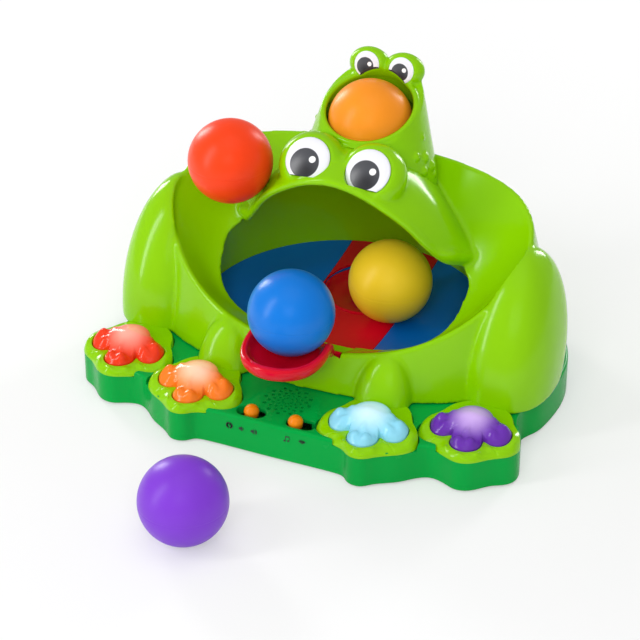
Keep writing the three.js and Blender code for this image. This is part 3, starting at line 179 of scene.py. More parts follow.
class Finish(Nodes):
    """A material built from nodes."""

    def __init__(self, name):
        self.material = bpy.data.materials.new(name)
        self.material.use_nodes = True
        super().__init__(self.material.node_tree)

    def place(self):
        return self.node("ShaderNodeTexCoord", output="Object")

    def map_on(self, name):
        return self.node("ShaderNodeUVMap", {"uv_map": name})

    def moved(self, vector, location=(0, 0, 0), scale=(1, 1, 1)):
        return self.node("ShaderNodeMapping", {"vector_type": "POINT"}, {0: vector, 1: location, 3: scale})

    def noise(self, vector, scale, detail=2.0):
        return self.node("ShaderNodeTexNoise", None, {"Vector": vector, "Scale": scale, "Detail": detail})

    def parts(self, vector):
        made = self.node("ShaderNodeSeparateXYZ", None, {0: vector})
        return [made.other(name) for name in "XYZ"]

    def distance(self, vector, point):
        settings = {"operation": "DISTANCE"}
        return self.node("ShaderNodeVectorMath", settings, {0: vector, 1: point}, output="Value")

    def smooth(self, value, low, high, start=0.0, end=1.0):
        settings = {"interpolation_type": "SMOOTHSTEP"}
        return self.node("ShaderNodeMapRange", settings, {0: value, 1: low, 2: high, 3: start, 4: end})

    def blend(self, share, first, second):
        return self.node("ShaderNodeMix", {"data_type": "RGBA"}, {0: share, 6: first, 7: second}, output=2)

    def bump(self, height, strength, distance):
        values = {"Strength": strength, "Distance": distance, "Height": height}
        return self.node("ShaderNodeBump", None, values)

    def surface(self, **sockets):
        values = {key.replace("_", " ").title().replace("Ior", "IOR"): sockets[key] for key in sockets}
        shader = self.node("ShaderNodeBsdfPrincipled", None, values)
        self.node("ShaderNodeOutputMaterial", None, {0: shader})
        return self.material


def linear(hex_colour):
    """Linear colour of a written one."""
    values = [((hex_colour >> shift) & 255) / 255 for shift in (16, 8, 0)]
    return tuple([v / 12.92 if v < 0.04045 else ((v + 0.055) / 1.055) ** 2.4 for v in values] + [1.0])


def tinted(colour, factor):
    return tuple([min(1.0, c * factor) for c in colour[:3]] + [1.0])


def moulded(name, colour, rough=0.22, cloud=0.06, peel=0.05, coat=0.0, speck=0.0, spec=0.24):
    """Moulded plastic: faint flow clouds, handling haze in its gloss and a fine orange peel."""
    finish, colour = Finish(name), linear(colour)
    where = finish.place()
    flow = finish.noise(where, 14.0, 3.0)
    haze = finish.noise(where, 55.0, 4.0)
    skin = finish.noise(where, 420.0, 2.0)
    grain = finish.noise(where, 2600.0, 2.0)
    base = finish.blend(flow, tinted(colour, 1 - cloud), tinted(colour, 1 + cloud))
    if speck:
        base = finish.blend(finish.smooth(grain, 0.62, 0.72, 0.0, speck), base, tinted(colour, 0.6))
    scuff = finish.smooth(haze, 0.55, 0.8, 0.0, 0.09)
    bump = finish.bump(skin * 0.7 + grain * 0.3, peel, 0.0004)
    return finish.surface(base_color=base, roughness=rough + scuff, normal=bump, ior=1.5, coat_weight=coat,
                          coat_roughness=0.05, specular_ior_level=spec)


def painted_light_button(name, colour, painted_glow, centre):
    """Tinted plastic with painted light: a glow painted round its middle and emitted, as from a lamp below
    it, with painted shade towards its edge.
    """
    finish = Finish(name)
    where = finish.place()
    away = finish.distance(where, centre)
    ripple = finish.noise(where, 90.0, 3.0)
    grain = finish.noise(where, 1500.0, 2.0)
    # Painted glow: the colour lightens towards the middle, as if a lamp were below it.
    lamp = finish.smooth(away + (ripple - 0.5) * 0.004, 0.002, 0.019, 1.0, 0.0)
    # Painted shade: the colour darkens towards the edge of the button, away from the painted glow.
    edge = finish.smooth(away, 0.012, 0.03, 0.0, 0.35)
    base = finish.blend(edge, finish.blend(lamp * 0.62, colour, painted_glow), tinted(colour, 0.72))
    # The painted glow is also emitted, so the button shines though it is no lamp.
    painted_light_emission = finish.blend(lamp, tinted(colour, 0.25), painted_glow)
    bump = finish.bump(grain, 0.04, 0.0003)
    return finish.surface(base_color=base, roughness=0.16 + ripple * 0.06, normal=bump, ior=1.5,
                          emission_color=painted_light_emission, emission_strength=0.16, specular_ior_level=0.4)


def eye_print(name, pupil, dot, reach):
    """White plastic with a printed dark pupil carrying a painted sheen, and its white dot, on the plate's own
    map.
    """
    finish = Finish(name)
    where = finish.map_on("face")
    discs = []
    for (x, y), r in zip((pupil, dot), reach):
        discs.append(finish.smooth(finish.distance(where, (x, y, 0.0)), r - 0.012, r + 0.012, 1.0, 0.0))
    round_pupil, round_dot = discs
    # Painted sheen: the pupil's dark ink is lighter away from a point low in the pupil.
    painted_sheen = finish.smooth(finish.distance(where, (pupil[0] + 0.1, pupil[1] - 0.4, 0.0)), 0.1, 0.75)
    ink_and_painted_sheen = finish.blend(painted_sheen, linear(0x2A2A2E), linear(0x4A4B50))
    grain = finish.noise(finish.place(), 1800.0, 2.0)
    base = finish.blend(round_dot, finish.blend(round_pupil, linear(0xEFEFF5), ink_and_painted_sheen), linear(0xFFFFFF))
    rim = round_pupil - round_dot
    bump = finish.bump(grain * 0.3 + rim, 0.12, 0.0002)
    return finish.surface(base_color=base, roughness=0.2 + grain * 0.06, normal=bump, ior=1.5)


def metal(name, colour, rough=0.3, scale=(400.0, 30.0, 30.0)):
    """Plated steel with drawn marks."""
    finish, colour = Finish(name), linear(colour)
    where = finish.place()
    drawn = finish.noise(finish.moved(where, scale=scale), 6.0, 4.0)
    spots = finish.noise(where, 700.0, 2.0)
    base = finish.blend(drawn, tinted(colour, 0.82), colour)
    return finish.surface(base_color=base, metallic=1.0, roughness=rough + drawn * 0.18,
                          normal=finish.bump(drawn + spots * 0.3, 0.1, 0.0002))


def matt(name, colour, rough=0.7, scale=900.0, depth=0.25):
    """Plain dark or grey plastic and rubber with a fine spark texture."""
    finish, colour = Finish(name), linear(colour)
    where = finish.place()
    pores = finish.noise(where, scale, 3.0)
    cloud = finish.noise(where, 40.0, 2.0)
    base = finish.blend(cloud * 0.6 + pores * 0.4, tinted(colour, 0.75), tinted(colour, 1.2))
    return finish.surface(base_color=base, roughness=rough + (pores - 0.5) * 0.2,
                          normal=finish.bump(pores, depth, 0.0004))


def board_finish():
    """Coated board with traces and pads."""
    finish = Finish("coated_board")
    where = finish.place()
    lanes = finish.maths("FRACT", finish.parts(where)[0] * 330.0 + finish.noise(where, 40.0))
    pads = finish.noise(where, 260.0, 1.0)
    trace = finish.smooth(lanes, 0.44, 0.5) - finish.smooth(lanes, 0.58, 0.64)
    base = finish.blend(trace, linear(0x1F6B3A), linear(0x2F8A50))
    base = finish.blend(finish.smooth(pads, 0.68, 0.7), base, linear(0xC9B27A))
    return finish.surface(base_color=base, roughness=0.35 + pads * 0.1,
                          normal=finish.bump(trace + pads, 0.2, 0.0002))


def cell_finish():
    """Printed can of a battery cell with a band near its tip."""
    finish = Finish("cell_can")
    where = finish.place()
    band = finish.smooth(finish.parts(where)[1], 0.103, 0.1032)
    print_marks = finish.noise(finish.moved(where, scale=(1.0, 0.1, 1.0)), 500.0, 2.0)
    base = finish.blend(band, linear(0x2B2C30), linear(0xC98A3C))
    base = finish.blend(finish.smooth(print_marks, 0.6, 0.62, 0.0, 0.15), base, linear(0xFFFFFF))
    return finish.surface(base_color=base, metallic=0.7, roughness=0.3 + print_marks * 0.1,
                          normal=finish.bump(print_marks, 0.05, 0.0002))


FINISHES = {
    "body_green": moulded("light_green_plastic", 0x8ACA00, rough=0.17, cloud=0.045, peel=0.03, coat=0.08),
    "base_green": moulded("dark_green_plastic", 0x00A040, spec=0.12),
    "dish_blue": moulded("blue_plastic", 0x0068C4, rough=0.3, cloud=0.08, peel=0.05, spec=0.3),
    "tongue_red": moulded("red_plastic", 0xD80424, rough=0.15, cloud=0.07, peel=0.03, coat=0.15),
    "knob_orange": moulded("knob_plastic", 0xF2880C, rough=0.3, cloud=0.07, peel=0.08),
    "black_plastic": matt("black_plastic_grained", 0x26282C, 0.6),
    "fan_grey": matt("grey_plastic_grained", 0xB9BCC0, 0.5),
    "steel": metal("plated_steel", 0xC4C7CA),
    "cell_wrap": cell_finish(),
    "board": board_finish(),
    "rubber": matt("black_rubber", 0x1C1C1E, 0.9, 1400.0, 0.4),
    "led_lens": moulded("clear_lens", 0xF2F2F6, rough=0.1, cloud=0.02, peel=0.02),
}
BALL_FINISHES = {"orange": (0xFA9422, 0.34), "red": (0xFA4212, 0.34), "blue": (0x0C77D6, 0.3),
                 "yellow": (0xF5CC2A, 0.34), "purple": (0x7C3ACB, 0.34)}
for key, (shade, gloss) in BALL_FINISHES.items():
    FINISHES["ball_" + key] = moulded(f"ball_{key}_plastic", shade, gloss, 0.07, 0.1, speck=0.05,
                                      spec=0.25)
# Each button's own colour and the colour of the glow painted in its middle.
BUTTON_AND_PAINTED_LIGHT_COLOURS = {"red": (0xF23A12, 0xFFC2B0), "orange": (0xFB7E1E, 0xFFE6CC),
                  "light_blue": (0x8ED9F0, 0xE4FBFF), "purple": (0x6A2FAE, 0xE9C9FF)}


# ---------------------------------------------------------------- meshes

def placed(points):
    """Drawn millimetres to metres in the frame of the model."""
    p = np.asarray(points, dtype=float).reshape(-1, 3)
    return (p - (0.0, MID_Y, 0.0)) / 1000.0


def linked(name, data):
    made = bpy.data.objects.new(name, data)
    bpy.context.scene.collection.objects.link(made)
    return made


def piece(name, points, faces):
    """A closed mesh with its faces outwards."""
    mesh = bpy.data.meshes.new(name)
    mesh.from_pydata(placed(points).tolist(), [], faces)
    mesh.validate()
    work = bmesh.new()
    work.from_mesh(mesh)
    bmesh.ops.remove_doubles(work, verts=work.verts, dist=1e-7)
    bmesh.ops.recalc_face_normals(work, faces=work.faces)
    work.to_mesh(mesh)
    work.free()
    return linked(name, mesh)


def settle(made):
    """Applies the modifiers of a piece to its mesh."""
    graph = bpy.context.evaluated_depsgraph_get()
    mesh = bpy.data.meshes.new_from_object(made.evaluated_get(graph))
    made.modifiers.clear()
    old, made.data = made.data, mesh
    bpy.data.meshes.remove(old)
    return made


def drop(*pieces):
    for gone in pieces:
        mesh = gone.data
        bpy.data.objects.remove(gone)
        bpy.data.meshes.remove(mesh)


def copied(source, name):
    return linked(name, source.data.copy())


def carve(base, tools, operation="DIFFERENCE"):
    """Cuts tools out of a piece, or joins or meets them with it, and drops them."""
    for tool in tools:
        modifier = base.modifiers.new("carve", "BOOLEAN")
        modifier.operation, modifier.solver, modifier.object = operation, "MANIFOLD", tool
        settle(base)
        drop(tool)
    return base


def soften(made, voxel, rounds, limit):
    """Even skin on a piece, with its edges and creases rounded."""
    remesh = made.modifiers.new("skin", "REMESH")
    remesh.mode, remesh.voxel_size, remesh.use_smooth_shade = "VOXEL", voxel, True
    ease = made.modifiers.new("ease", "SMOOTH")
    ease.factor, ease.iterations = 0.5, rounds
    settle(made)
    triangles = len(made.data.polygons) * 2
    if triangles > limit:
        thin = made.modifiers.new("thin", "DECIMATE")
        thin.ratio = limit / triangles
        settle(made)
    return made


def circle(n):
    return np.linspace(0, 2 * np.pi, n, endpoint=False)


def level(x, y, z):
    """Points at (x, y), at one height or at a height each."""
    return np.stack([x, y, np.broadcast_to(np.asarray(z, float), np.shape(x))], -1)


def hoop(t, r, z, x=0.0, y=0.0):
    """Level circle about (x, y), its angles measured from the front."""
    return level(x + r * np.sin(t), y - r * np.cos(t), z)


def eased(t):
    """Smooth step from 0 to 1."""
    t = np.clip(t, 0, 1)
    return t * t * (3 - 2 * t)


def rings_piece(name, rings, closed_ends=True):
    """Skin through rings of equal length, with a fan at each end."""
    rings = [np.asarray(r, dtype=float) for r in rings]
    n, m = len(rings[0]), len(rings)
    points = np.vstack(rings)
    j = np.arange(n)
    k = (j + 1) % n
    faces = []
    for i in range(m - 1):
        faces += np.stack([i * n + j, i * n + k, (i + 1) * n + k, (i + 1) * n + j], 1).tolist()
    if closed_ends:
        points = np.vstack([points, rings[0].mean(0), rings[-1].mean(0)])
        faces += np.stack([np.full(n, m * n), k, j], 1).tolist()
        faces += np.stack([np.full(n, m * n + 1), (m - 1) * n + j, (m - 1) * n + k], 1).tolist()
    else:
        faces += np.stack([(m - 1) * n + j, (m - 1) * n + k, k, j], 1).tolist()
    return piece(name, points, faces)


def lathe(name, profile, x=0.0, y=0.0, n=96, closed=False):
    """Turned piece. A closed profile is a ring, an open one starts and ends on the axis."""
    return rings_piece(name, [hoop(circle(n), r, z, x, y) for r, z in profile], closed_ends=not closed)


def turned(made, centre, tilt):
    """Tips a piece drawn about the origin by an angle about X and moves it to a centre."""
    spin = Matrix.Rotation(math.radians(tilt), 4, "X")
    start, end = (Vector(placed(point)[0]) for point in ((0, 0, 0), centre))
    made.data.transform(Matrix.Translation(end) @ spin @ Matrix.Translation(-start))
    return made


def ellipsoid(name, centre, radii, tilt=0.0, n=64, m=32):
    phi = np.linspace(-np.pi / 2, np.pi / 2, m)[1:-1]
    x, y = radii[0] * np.sin(circle(n)), -radii[1] * np.cos(circle(n))
    rings = [level(x * np.cos(p), y * np.cos(p), radii[2] * np.sin(p)) for p in phi]
    return turned(rings_piece(name, rings), centre, tilt)


def cylinder(name, r, z0, z1, x=0.0, y=0.0, n=96):
    return lathe(name, [(r, z0), (r, z1)], x, y, n)


def block(name, x0, x1, y0, y1, z0, z1):
    corners = [(x0, y0), (x1, y0), (x1, y1), (x0, y1)]
    return rings_piece(name, [[(x, y, z) for x, y in corners] for z in (z0, z1)])


def curve_through(points, u, closed=False):
    """Smooth line through points, at shares u of its length in points."""
    p = np.asarray(points, dtype=float)
    n = len(p)
    if closed:
        at = np.asarray(u) * n
        i = np.floor(at).astype(int)
        p0, p1, p2, p3 = (p[(i + k) % n] for k in (-1, 0, 1, 2))
    else:
        q = np.vstack([2 * p[0] - p[1], p, 2 * p[-1] - p[-2]])
        at = np.asarray(u) * (n - 1)
        i = np.clip(np.floor(at).astype(int), 0, n - 2)
        p0, p1, p2, p3 = (q[i + k] for k in range(4))
    w = (at - i)[:, None]
    square, cube = 2 * p0 - 5 * p1 + 4 * p2 - p3, 3 * p1 - p0 - 3 * p2 + p3
    return 0.5 * (2 * p1 + (p2 - p0) * w + square * w ** 2 + cube * w ** 3)


def pipe(name, path, radius, sides=20):
    """Round bar along a path, ends closed. Its radius is a number or one per point."""
    path = np.asarray(path, dtype=float)
    along = np.gradient(path, axis=0)
    along /= np.linalg.norm(along, axis=1)[:, None]
    side = np.cross(along, (0.0, 0.0, 1.0))
    side /= np.linalg.norm(side, axis=1)[:, None]
    over = np.cross(side, along)
    c, s = np.cos(circle(sides))[:, None], np.sin(circle(sides))[:, None]
    radius = np.broadcast_to(np.asarray(radius, float), len(path))
    return rings_piece(name, [p + r * (c * a + s * b) for p, r, a, b in zip(path, radius, side, over)])


def table(xs, ys, x):
    """Smooth value at x in a table of rising xs."""
    xs, ys, x = np.asarray(xs, float), np.asarray(ys, float), np.asarray(x, float)
    slope = np.gradient(ys, xs)
    i = np.clip(np.searchsorted(xs, x) - 1, 0, len(xs) - 2)
    h = xs[i + 1] - xs[i]
    t = np.clip((x - xs[i]) / h, 0.0, 1.0)
    a = (1 + 2 * t) * (1 - t) ** 2 * ys[i] + t * (1 - t) ** 2 * h * slope[i]
    return a + t * t * (3 - 2 * t) * ys[i + 1] + t * t * (t - 1) * h * slope[i + 1]


def worn(made, slot, body, node=None, sharp=None, finish=None):
    """Gives a piece its finish, that of its slot unless one is given, smooth faces and body, and hides the
    node that it stands for.
    """
    made.data.materials.clear()
    made.data.materials.append(finish or FINISHES[slot])
    made.data.shade_smooth()
    if sharp:
        made.data.set_sharp_from_angle(angle=math.radians(sharp))
    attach(made, body)
    if node:
        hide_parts(node)


# ---------------------------------------------------------------- green body

ROUND = circle(256)


def super_point(theta, side, front, back, power):
    """Point on a rounded outline with unlike depths to the front and the back."""
    sx, sy = np.sin(theta), -np.cos(theta)
    depth = np.where(sy < 0, front, back)
    r = (np.abs(sx / side) ** power + np.abs(sy / depth) ** power) ** (-1 / power)
    return r * sx, r * sy


def wall_point(theta, z, d=0.0):
    """Outside of the bowl wall, drawn inwards by d."""
    up = np.maximum(0.0, np.broadcast_to(z, np.shape(theta)) - DECK_TOP)
    side, front = BOWL_SIDE - SIDE_LEAN * up - d, BOWL_FRONT - FRONT_LEAN * up - d
    back = BOWL_BACK - BACK_LEAN * np.minimum(1.2, up / BACK_LEAN_H) ** 1.6 - d
    x, y = super_point(theta, side, front, back, BOWL_POWER)
    return level(x, BOWL_Y + y, z)


def rim_point(theta, d=0.0):
    z = np.full(np.shape(theta), 94.0)
    for _ in range(40):
        z = (z + table(RIM_Y, RIM_Z, wall_point(theta, z)[..., 1])) / 2
    return wall_point(theta, z, d)


def inward(p, by):
    way = np.stack([-p[..., 0], BOWL_Y - p[..., 1]], -1)
    way /= np.linalg.norm(way, axis=-1)[..., None]
    return np.concatenate([p[..., :2] + way * by, p[..., 2:]], -1)


def hole_point(theta, grow=0.0):
    x, y = super_point(theta, HOLE_SIDE + grow, HOLE_FRONT + grow, HOLE_BACK + grow, HOLE_POWER)
    return level(x, HOLE_Y + y, HOLE_Z + HOLE_SLOPE * (HOLE_Y + y))


def at_height(p, z):
    return level(p[..., 0], p[..., 1], z)


def lower_end(d):
    """Height at which the body starts. The room inside it reaches down through the deck."""
    return DECK_TOP - 40 if d > 0 else DECK_TOP + GAP


def bowl_block(d):
    """The bowl wall as a filled block up to its rim."""
    rim = rim_point(ROUND, d)
    top = rim[:, 2] - max(0.0, d) * DOWN
    rings = [at_height(wall_point(ROUND, DECK_TOP, d), lower_end(d))]
    for share in np.linspace(0, 1, 19)[0 if d > 0 else 1:]:
        rings.append(wall_point(ROUND, DECK_TOP + (top - DECK_TOP) * share, d))
    rings.append(at_height(inward(rim, RIM_LAND * 2), top))
    return rings_piece("bowl_block", rings)


def funnel_point(theta, share, d):
    a, b = inward(rim_point(theta), RIM_LAND), hole_point(theta)
    power = FUNNEL_POWER[0] + (FUNNEL_POWER[1] - FUNNEL_POWER[0]) * (1 - np.cos(theta)) / 2
    flat = a + (b - a) * share
    return at_height(flat, b[:, 2] + (a[:, 2] - b[:, 2]) * (1 - share) ** power - d * DOWN)


def scoop(d):
    """The open space above the funnel."""
    rim = rim_point(ROUND)
    edge = inward(rim, RIM_LAND - d)
    rings = [at_height(edge, TOWER_TOP + 30), at_height(edge, rim[:, 2] + 0.2)]
    rings += [funnel_point(ROUND, s, d) for s in np.linspace(0, 1, 21)[1:]]
    return rings_piece("scoop", rings)


def blob(name, centre, radii, low, side):
    """Haunch or shin: a sheared, flattened ellipsoid."""
    start = math.asin(max(-1.0, (low - centre[2]) / radii[2]))
    x, y = super_point(circle(112), radii[0], radii[1], radii[1], BLOB_POWER)
    rings = []
    for phi in np.linspace(start, np.pi / 2, 40)[:-1]:
        up, k = radii[2] * math.sin(phi), math.cos(phi)
        rings.append(level(side * centre[0] + x * k, centre[1] + y * k + BLOB_SHEAR * up, centre[2] + up))
    return rings_piece(name, rings)


def symmetric(half, u):
    left = [(-x, y, z) for x, y, z in half][:-1]
    return curve_through(left + list(half)[::-1], u)


def hood_grid(d, across=97, along=33):
    u = np.linspace(0, 1, across)
    lip, foot = symmetric(LIP, u), symmetric(HOOD_FOOT, u)
    rows = []
    for v in np.linspace(0, 1, along):
        p = lip + (foot - lip) * v
        p[:, 2] += HOOD_BULGE * math.sin(math.pi * v) * np.sin(np.pi * u) ** HOOD_POWER - d * DOWN
        rows.append(p)
    return rows


def hood(d):
    """The head as a filled block below its skin."""
    rows = hood_grid(d)
    if d > 0:
        rows.insert(0, rows[0] - (0, WALL * 4, 0))
    n, m = len(rows[0]), len(rows)
    points = np.vstack(rows)
    faces = [(k, k + 1, k + n + 1, k + n) for j in range(m - 1) for k in range(j * n, j * n + n - 1)]
    edge = list(range(n)) + [j * n + n - 1 for j in range(1, m)]
    edge += [(m - 1) * n + i for i in range(n - 2, -1, -1)] + [j * n for j in range(m - 2, 0, -1)]
    base = len(points)
    low = at_height(points[edge], HOOD_FLOOR)
    points = np.vstack([points, low, low.mean(0)])
    for k in range(len(edge)):
        q = (k + 1) % len(edge)
        faces += [(edge[k], base + k, base + q, edge[q]), (len(points) - 1, base + q, base + k)]
    return piece("hood", points, faces)


def behind(centre, tilt, by):
    a = math.radians(tilt)
    return (centre[0], centre[1] + math.sin(a) * by, centre[2] - math.cos(a) * by)


def mirrored(point, side):
    return (point[0] * side, *point[1:])


def body_solid(d):
    """The body's form without the baby frog, drawn inwards by d."""
    made = bowl_block(d)
    for side in (1, -1):
        thigh = blob("thigh", THIGH_C, [r - d for r in THIGH_R], lower_end(d), side)
        leg = blob("leg", LEG_C, [r - d for r in LEG_R], lower_end(d), side)
        carve(made, [thigh, leg], "UNION")
    carve(made, [scoop(d)])
    carve(made, [hood(d)], "UNION")
    if d <= 0:
        for side in (1, -1):
            centre = mirrored(behind(EYE_C, EYE_TILT, EYE_SINK), side)
            bulge = ellipsoid("eye_bulge", centre, EYE_BULGE, EYE_TILT)
            front = turned(block("front", -40, 40, -40, 40, EYE_FLAT, 40), mirrored(EYE_C, side), EYE_TILT)
            carve(made, [carve(bulge, [front])], "UNION")
    return made


def eye_seat(centre, tilt, r, side, lid=None):
    made = cylinder("eye_seat", r + GAP, 0, r * 2)
    if lid:
        carve(made, [block("lid", -r * 2, r * 2, -r * 2, -r * lid - GAP, -1, r * 3)])
    return turned(made, mirrored(centre, side), tilt)


def lip_bar(r):
    """Rolled edge of the upper lip, sinking into the funnel at both ends."""
    half = [*LIP_END] + [(x, y + LIP_ROLL / 2, z - LIP_ROLL) for x, y, z in LIP]
    u = np.linspace(0, 1, 160)
    return pipe("lip_bar", symmetric(half, u), r * np.clip(np.minimum(u, 1 - u) * 9, 0.25, 1))


def corner_fill(side):
    """Body material behind the corner of the mouth, where the head meets the funnel."""
    u = np.linspace(0, 1, 40)
    path = curve_through([mirrored(point, side) for point in CORNER], u)
    return pipe("corner_fill", path, np.interp(u, (0, 0.35, 0.7, 1), CORNER_R), 28)


def pin_boss(side):
    """Boss in the lower lip that holds an end of the tongue's pin."""
    return pipe("pin_boss", on_pin(*(side * x for x in (NOTCH_HALF - 1, 35, PIN_HALF + 1.5))), BARREL_R, 28)


def hole_plug():
    edge = hole_point(ROUND)
    return rings_piece("hole_plug", [at_height(edge, HOOD_FLOOR), edge + (0, 0, WALL / 2)])


def body_moulding(solid, room):
    made = copied(solid, "body_moulding")
    carve(made, [copied(room, "body_room"), hole_plug()])
    carve(made, [lip_bar(LIP_ROLL), corner_fill(1), corner_fill(-1), pin_boss(1), pin_boss(-1)], "UNION")
    carve(made, [cylinder("head_bore", HEAD_BORE, HOOD_FLOOR, TOWER_TOP, 0, TUBE_Y)])
    soften(made, *BODY_SKIN)
    seats = [eye_seat(EYE_C, EYE_TILT, EYE_R, side, LID_SHARE) for side in (1, -1)]
    notch = block("notch", -NOTCH_HALF, NOTCH_HALF, *NOTCH_Y, NOTCH_Z, 88)
    bore = pipe("pin_bore", on_pin(-PIN_HALF - GAP, 0, PIN_HALF + GAP), PIN_R + GAP, 24)
    return carve(made, [*seats, notch, bore])


# ---------------------------------------------------------------- baby frog

def tower_rings():
    zs, ys, rs = zip(*TOWER)
    heights = np.linspace(zs[0], zs[-1], 44)
    return [hoop(circle(144), table(zs, rs, z), z, 0, table(zs, ys, z)) for z in heights]


def exit_bore(grow=0.0):
    return turned(cylinder("exit_bore", EXIT_R + grow, 0, BALL_R * 3), OUTLET_C, EXIT_TILT)


def ring_bar(grow=0.0):
    """Rounded lip round the open mouth of the baby frog."""
    tilt = math.atan(RING_SLOPE)
    out = (RING_Z + RING_SLOPE * OUTLET_C[1] - OUTLET_C[2]) * math.cos(tilt)
    centre = (0, OUTLET_C[1] - math.sin(tilt) * out, OUTLET_C[2] + math.cos(tilt) * out)
    r = RING_ROLL + grow
    profile = [(EXIT_R + RING_ROLL + r * math.cos(a), r * math.sin(a)) for a in circle(24)]
    return turned(lathe("ring_bar", profile, n=120, closed=True), centre, math.degrees(tilt))


def warts(side):
    """Low bumps on the side of the small frog."""
    made = []
    for x, y, z, r in WARTS:
        way = Vector((x, y - TUBE_Y, 0)).normalized() * r * WART_SINK
        made.append(ellipsoid("wart", (side * (x - way.x), y - way.y, z), (r, r, r), 0.0, 28, 16))
    return made


def baby_moulding(solid):
    made = rings_piece("baby_frog_moulding", tower_rings())
    lid = block("lid", -120, 120, -120, 160, 0, 90)
    carve(made, [turned(lid, (0, 0, RING_Z), math.degrees(math.atan(RING_SLOPE)))])
    for side in (1, -1):
        centre = mirrored(behind(BABY_EYE_C, BABY_EYE_TILT, BABY_SINK), side)
        carve(made, [ellipsoid("baby_bulge", centre, BABY_BULGE, BABY_EYE_TILT)], "UNION")
    carve(made, [ellipsoid("brow", BROW_C, BROW_R), *warts(1), *warts(-1)], "UNION")
    well = lathe("well", [(HEAD_BORE, HOOD_FLOOR), (HEAD_BORE, TUBE_TOP + GAP), (TUBE_IN, TUBE_TOP + 9),
                          (TUBE_IN, OUTLET_C[2])], 0, TUBE_Y)
    chamber = ellipsoid("chamber", OUTLET_C, (CHAMBER_R,) * 3)
    form = copied(solid, "body_form")
    form.data.transform(Matrix.Translation((0, 0, -0.0006)))
    seats = [eye_seat(BABY_EYE_C, BABY_EYE_TILT, BABY_EYE_R, side) for side in (1, -1)]
    carve(made, [form, well, chamber, exit_bore(), *seats])
    carve(made, [ring_bar()], "UNION")
    return soften(made, *BABY_SKIN)


def eye_plate(name, centre, tilt, r, thick, side, cutters, lid=None):
    """Domed plate with its own map, cut off level below when it has a lid share."""
    profile = [(0.001, 0), (r - 0.3, 0), (r, 0.4), (r, thick * 0.35), (r * 0.985, thick * 0.43)]
    for share in (0.93, 0.8, 0.6, 0.4, 0.2, 0.02):
        profile.append((r * share, thick * (0.5 + 0.5 * math.cos(share * math.pi / 2) ** 0.7)))
    made = lathe(name, profile, n=128)
    layer = made.data.uv_layers.new(name="face")
    flat = [made.data.vertices[loop.vertex_index].co for loop in made.data.loops]
    for item, co in zip(layer.data, flat):
        item.uv = (co.x * 1000 / r, (co.y * 1000 + MID_Y) / r)
    if lid:
        carve(made, [block("lid", -r * 2, r * 2, -r * 2, -r * lid, -1, r)])
    turned(made, mirrored(behind(centre, tilt, -GAP), side), tilt)
    return carve(made, cutters)


# ---------------------------------------------------------------- mouth

def dish_radius(theta, inset):
    """Reach from the middle of the dish to the bowl wall, found by halving."""
    side, back = BOWL_SIDE - inset, BOWL_BACK - inset
    front = BOWL_FRONT - FRONT_LEAN * (DISH_EDGE_Z - DECK_TOP) - inset
    low, high = np.zeros(len(theta)), np.full(len(theta), DISH_R)
    for _ in range(40):
        r = (low + high) / 2
        x, y = r * np.sin(theta), DISH_Y - r * np.cos(theta) - BOWL_Y
        e = np.abs(x / side) ** BOWL_POWER + np.abs(y / np.where(y < 0, front, back)) ** BOWL_POWER
        low, high = np.where(e < 1, r, low), np.where(e < 1, high, r)
    return low


def dish_ring(share, up, grow=0.0):
    t = ROUND[::2]
    r = dish_radius(t, WALL + DISH_FIT) * share + grow
    z = DISH_FLOOR_Z + (DISH_EDGE_Z - DISH_FLOOR_Z) * share ** DISH_POWER + up
    return hoop(t, r, z, 0, DISH_Y)


def dish_layer(name, top, bottom, grow=0.0):
    shares = np.linspace(0.08, 1, 14)
    return rings_piece(name, [dish_ring(s, bottom, grow * s) for s in shares]
                       + [dish_ring(s, top, grow * s) for s in shares[::-1]])


def band_of(name, half, top, bottom, grow=0.0):
    made = dish_layer(name, top, bottom, grow)
    return carve(made, [block("band_limits", -half, half, -FAR, FAR, 0, FAR)], "INTERSECT")


def cup_hole():
    return cylinder("cup_hole", CUP_R + GAP, 0, 60, 0, TUBE_Y)


def mouth_floor():
    made = dish_layer("mouth_floor", 0, -DISH_THICK - STRIP_THICK)
    groove = band_of("groove", STRIP_HALF + GAP, BALL_R, -STRIP_THICK - GAP, GAP * 2)
    return carve(made, [groove, cup_hole()])


def throat_band():
    return carve(band_of("throat_band", STRIP_HALF, 0, -STRIP_THICK), [cup_hole()])


def mouth_wall(room):
    """Wall behind the mouth, from the dish up to the tube."""
    def form(grow, over):
        low = (DISH_EDGE_Z - DISH_THICK - over, DISH_EDGE_Z)
        rings = []
        for z in (*low, *np.linspace(70, TUBE_BOTTOM, 4), TUBE_BOTTOM + over):
            r = DISH_R + GAP + grow - LINER_LEAN * min(max(0.0, z - DISH_EDGE_Z), TUBE_BOTTOM - DISH_EDGE_Z)
            rings.append(hoop(ROUND, r, z, 0, DISH_Y))
        return rings_piece("mouth_wall", rings)
    made = carve(form(LINER_WALL, 0), [form(0.0, WALL)])
    limits = block("limits", -FAR, FAR, LINER_FRONT_Y, FAR, 0, FAR)
    return carve(made, [limits, copied(room, "room")], "INTERSECT")


def launch_cup():
    top = DISH_FLOOR_Z + (DISH_EDGE_Z - DISH_FLOOR_Z) * 0.5 ** DISH_POWER - STRIP_THICK / 2
    t, hole, z = CUP_WALL, NOZZLE_R + GAP, CUP_FLOOR_Z
    profile = [(CUP_R, z + t), (CUP_R, top - 0.4), (CUP_R - 0.6, top), (CUP_R - t + 0.5, top),
               (CUP_R - t, top - 0.5), (CUP_R - t - 0.6, z + t * 2.6), (CUP_R - t * 2.2, z + t * 1.5),
               (CUP_R - t * 4, z + t * 1.1), (hole + 0.5, z + t), (hole, z + t * 0.8), (hole, z),
               (CUP_R - t, z)]
    return lathe("cup", profile, 0, TUBE_Y, 128, closed=True)


# ---------------------------------------------------------------- tongue

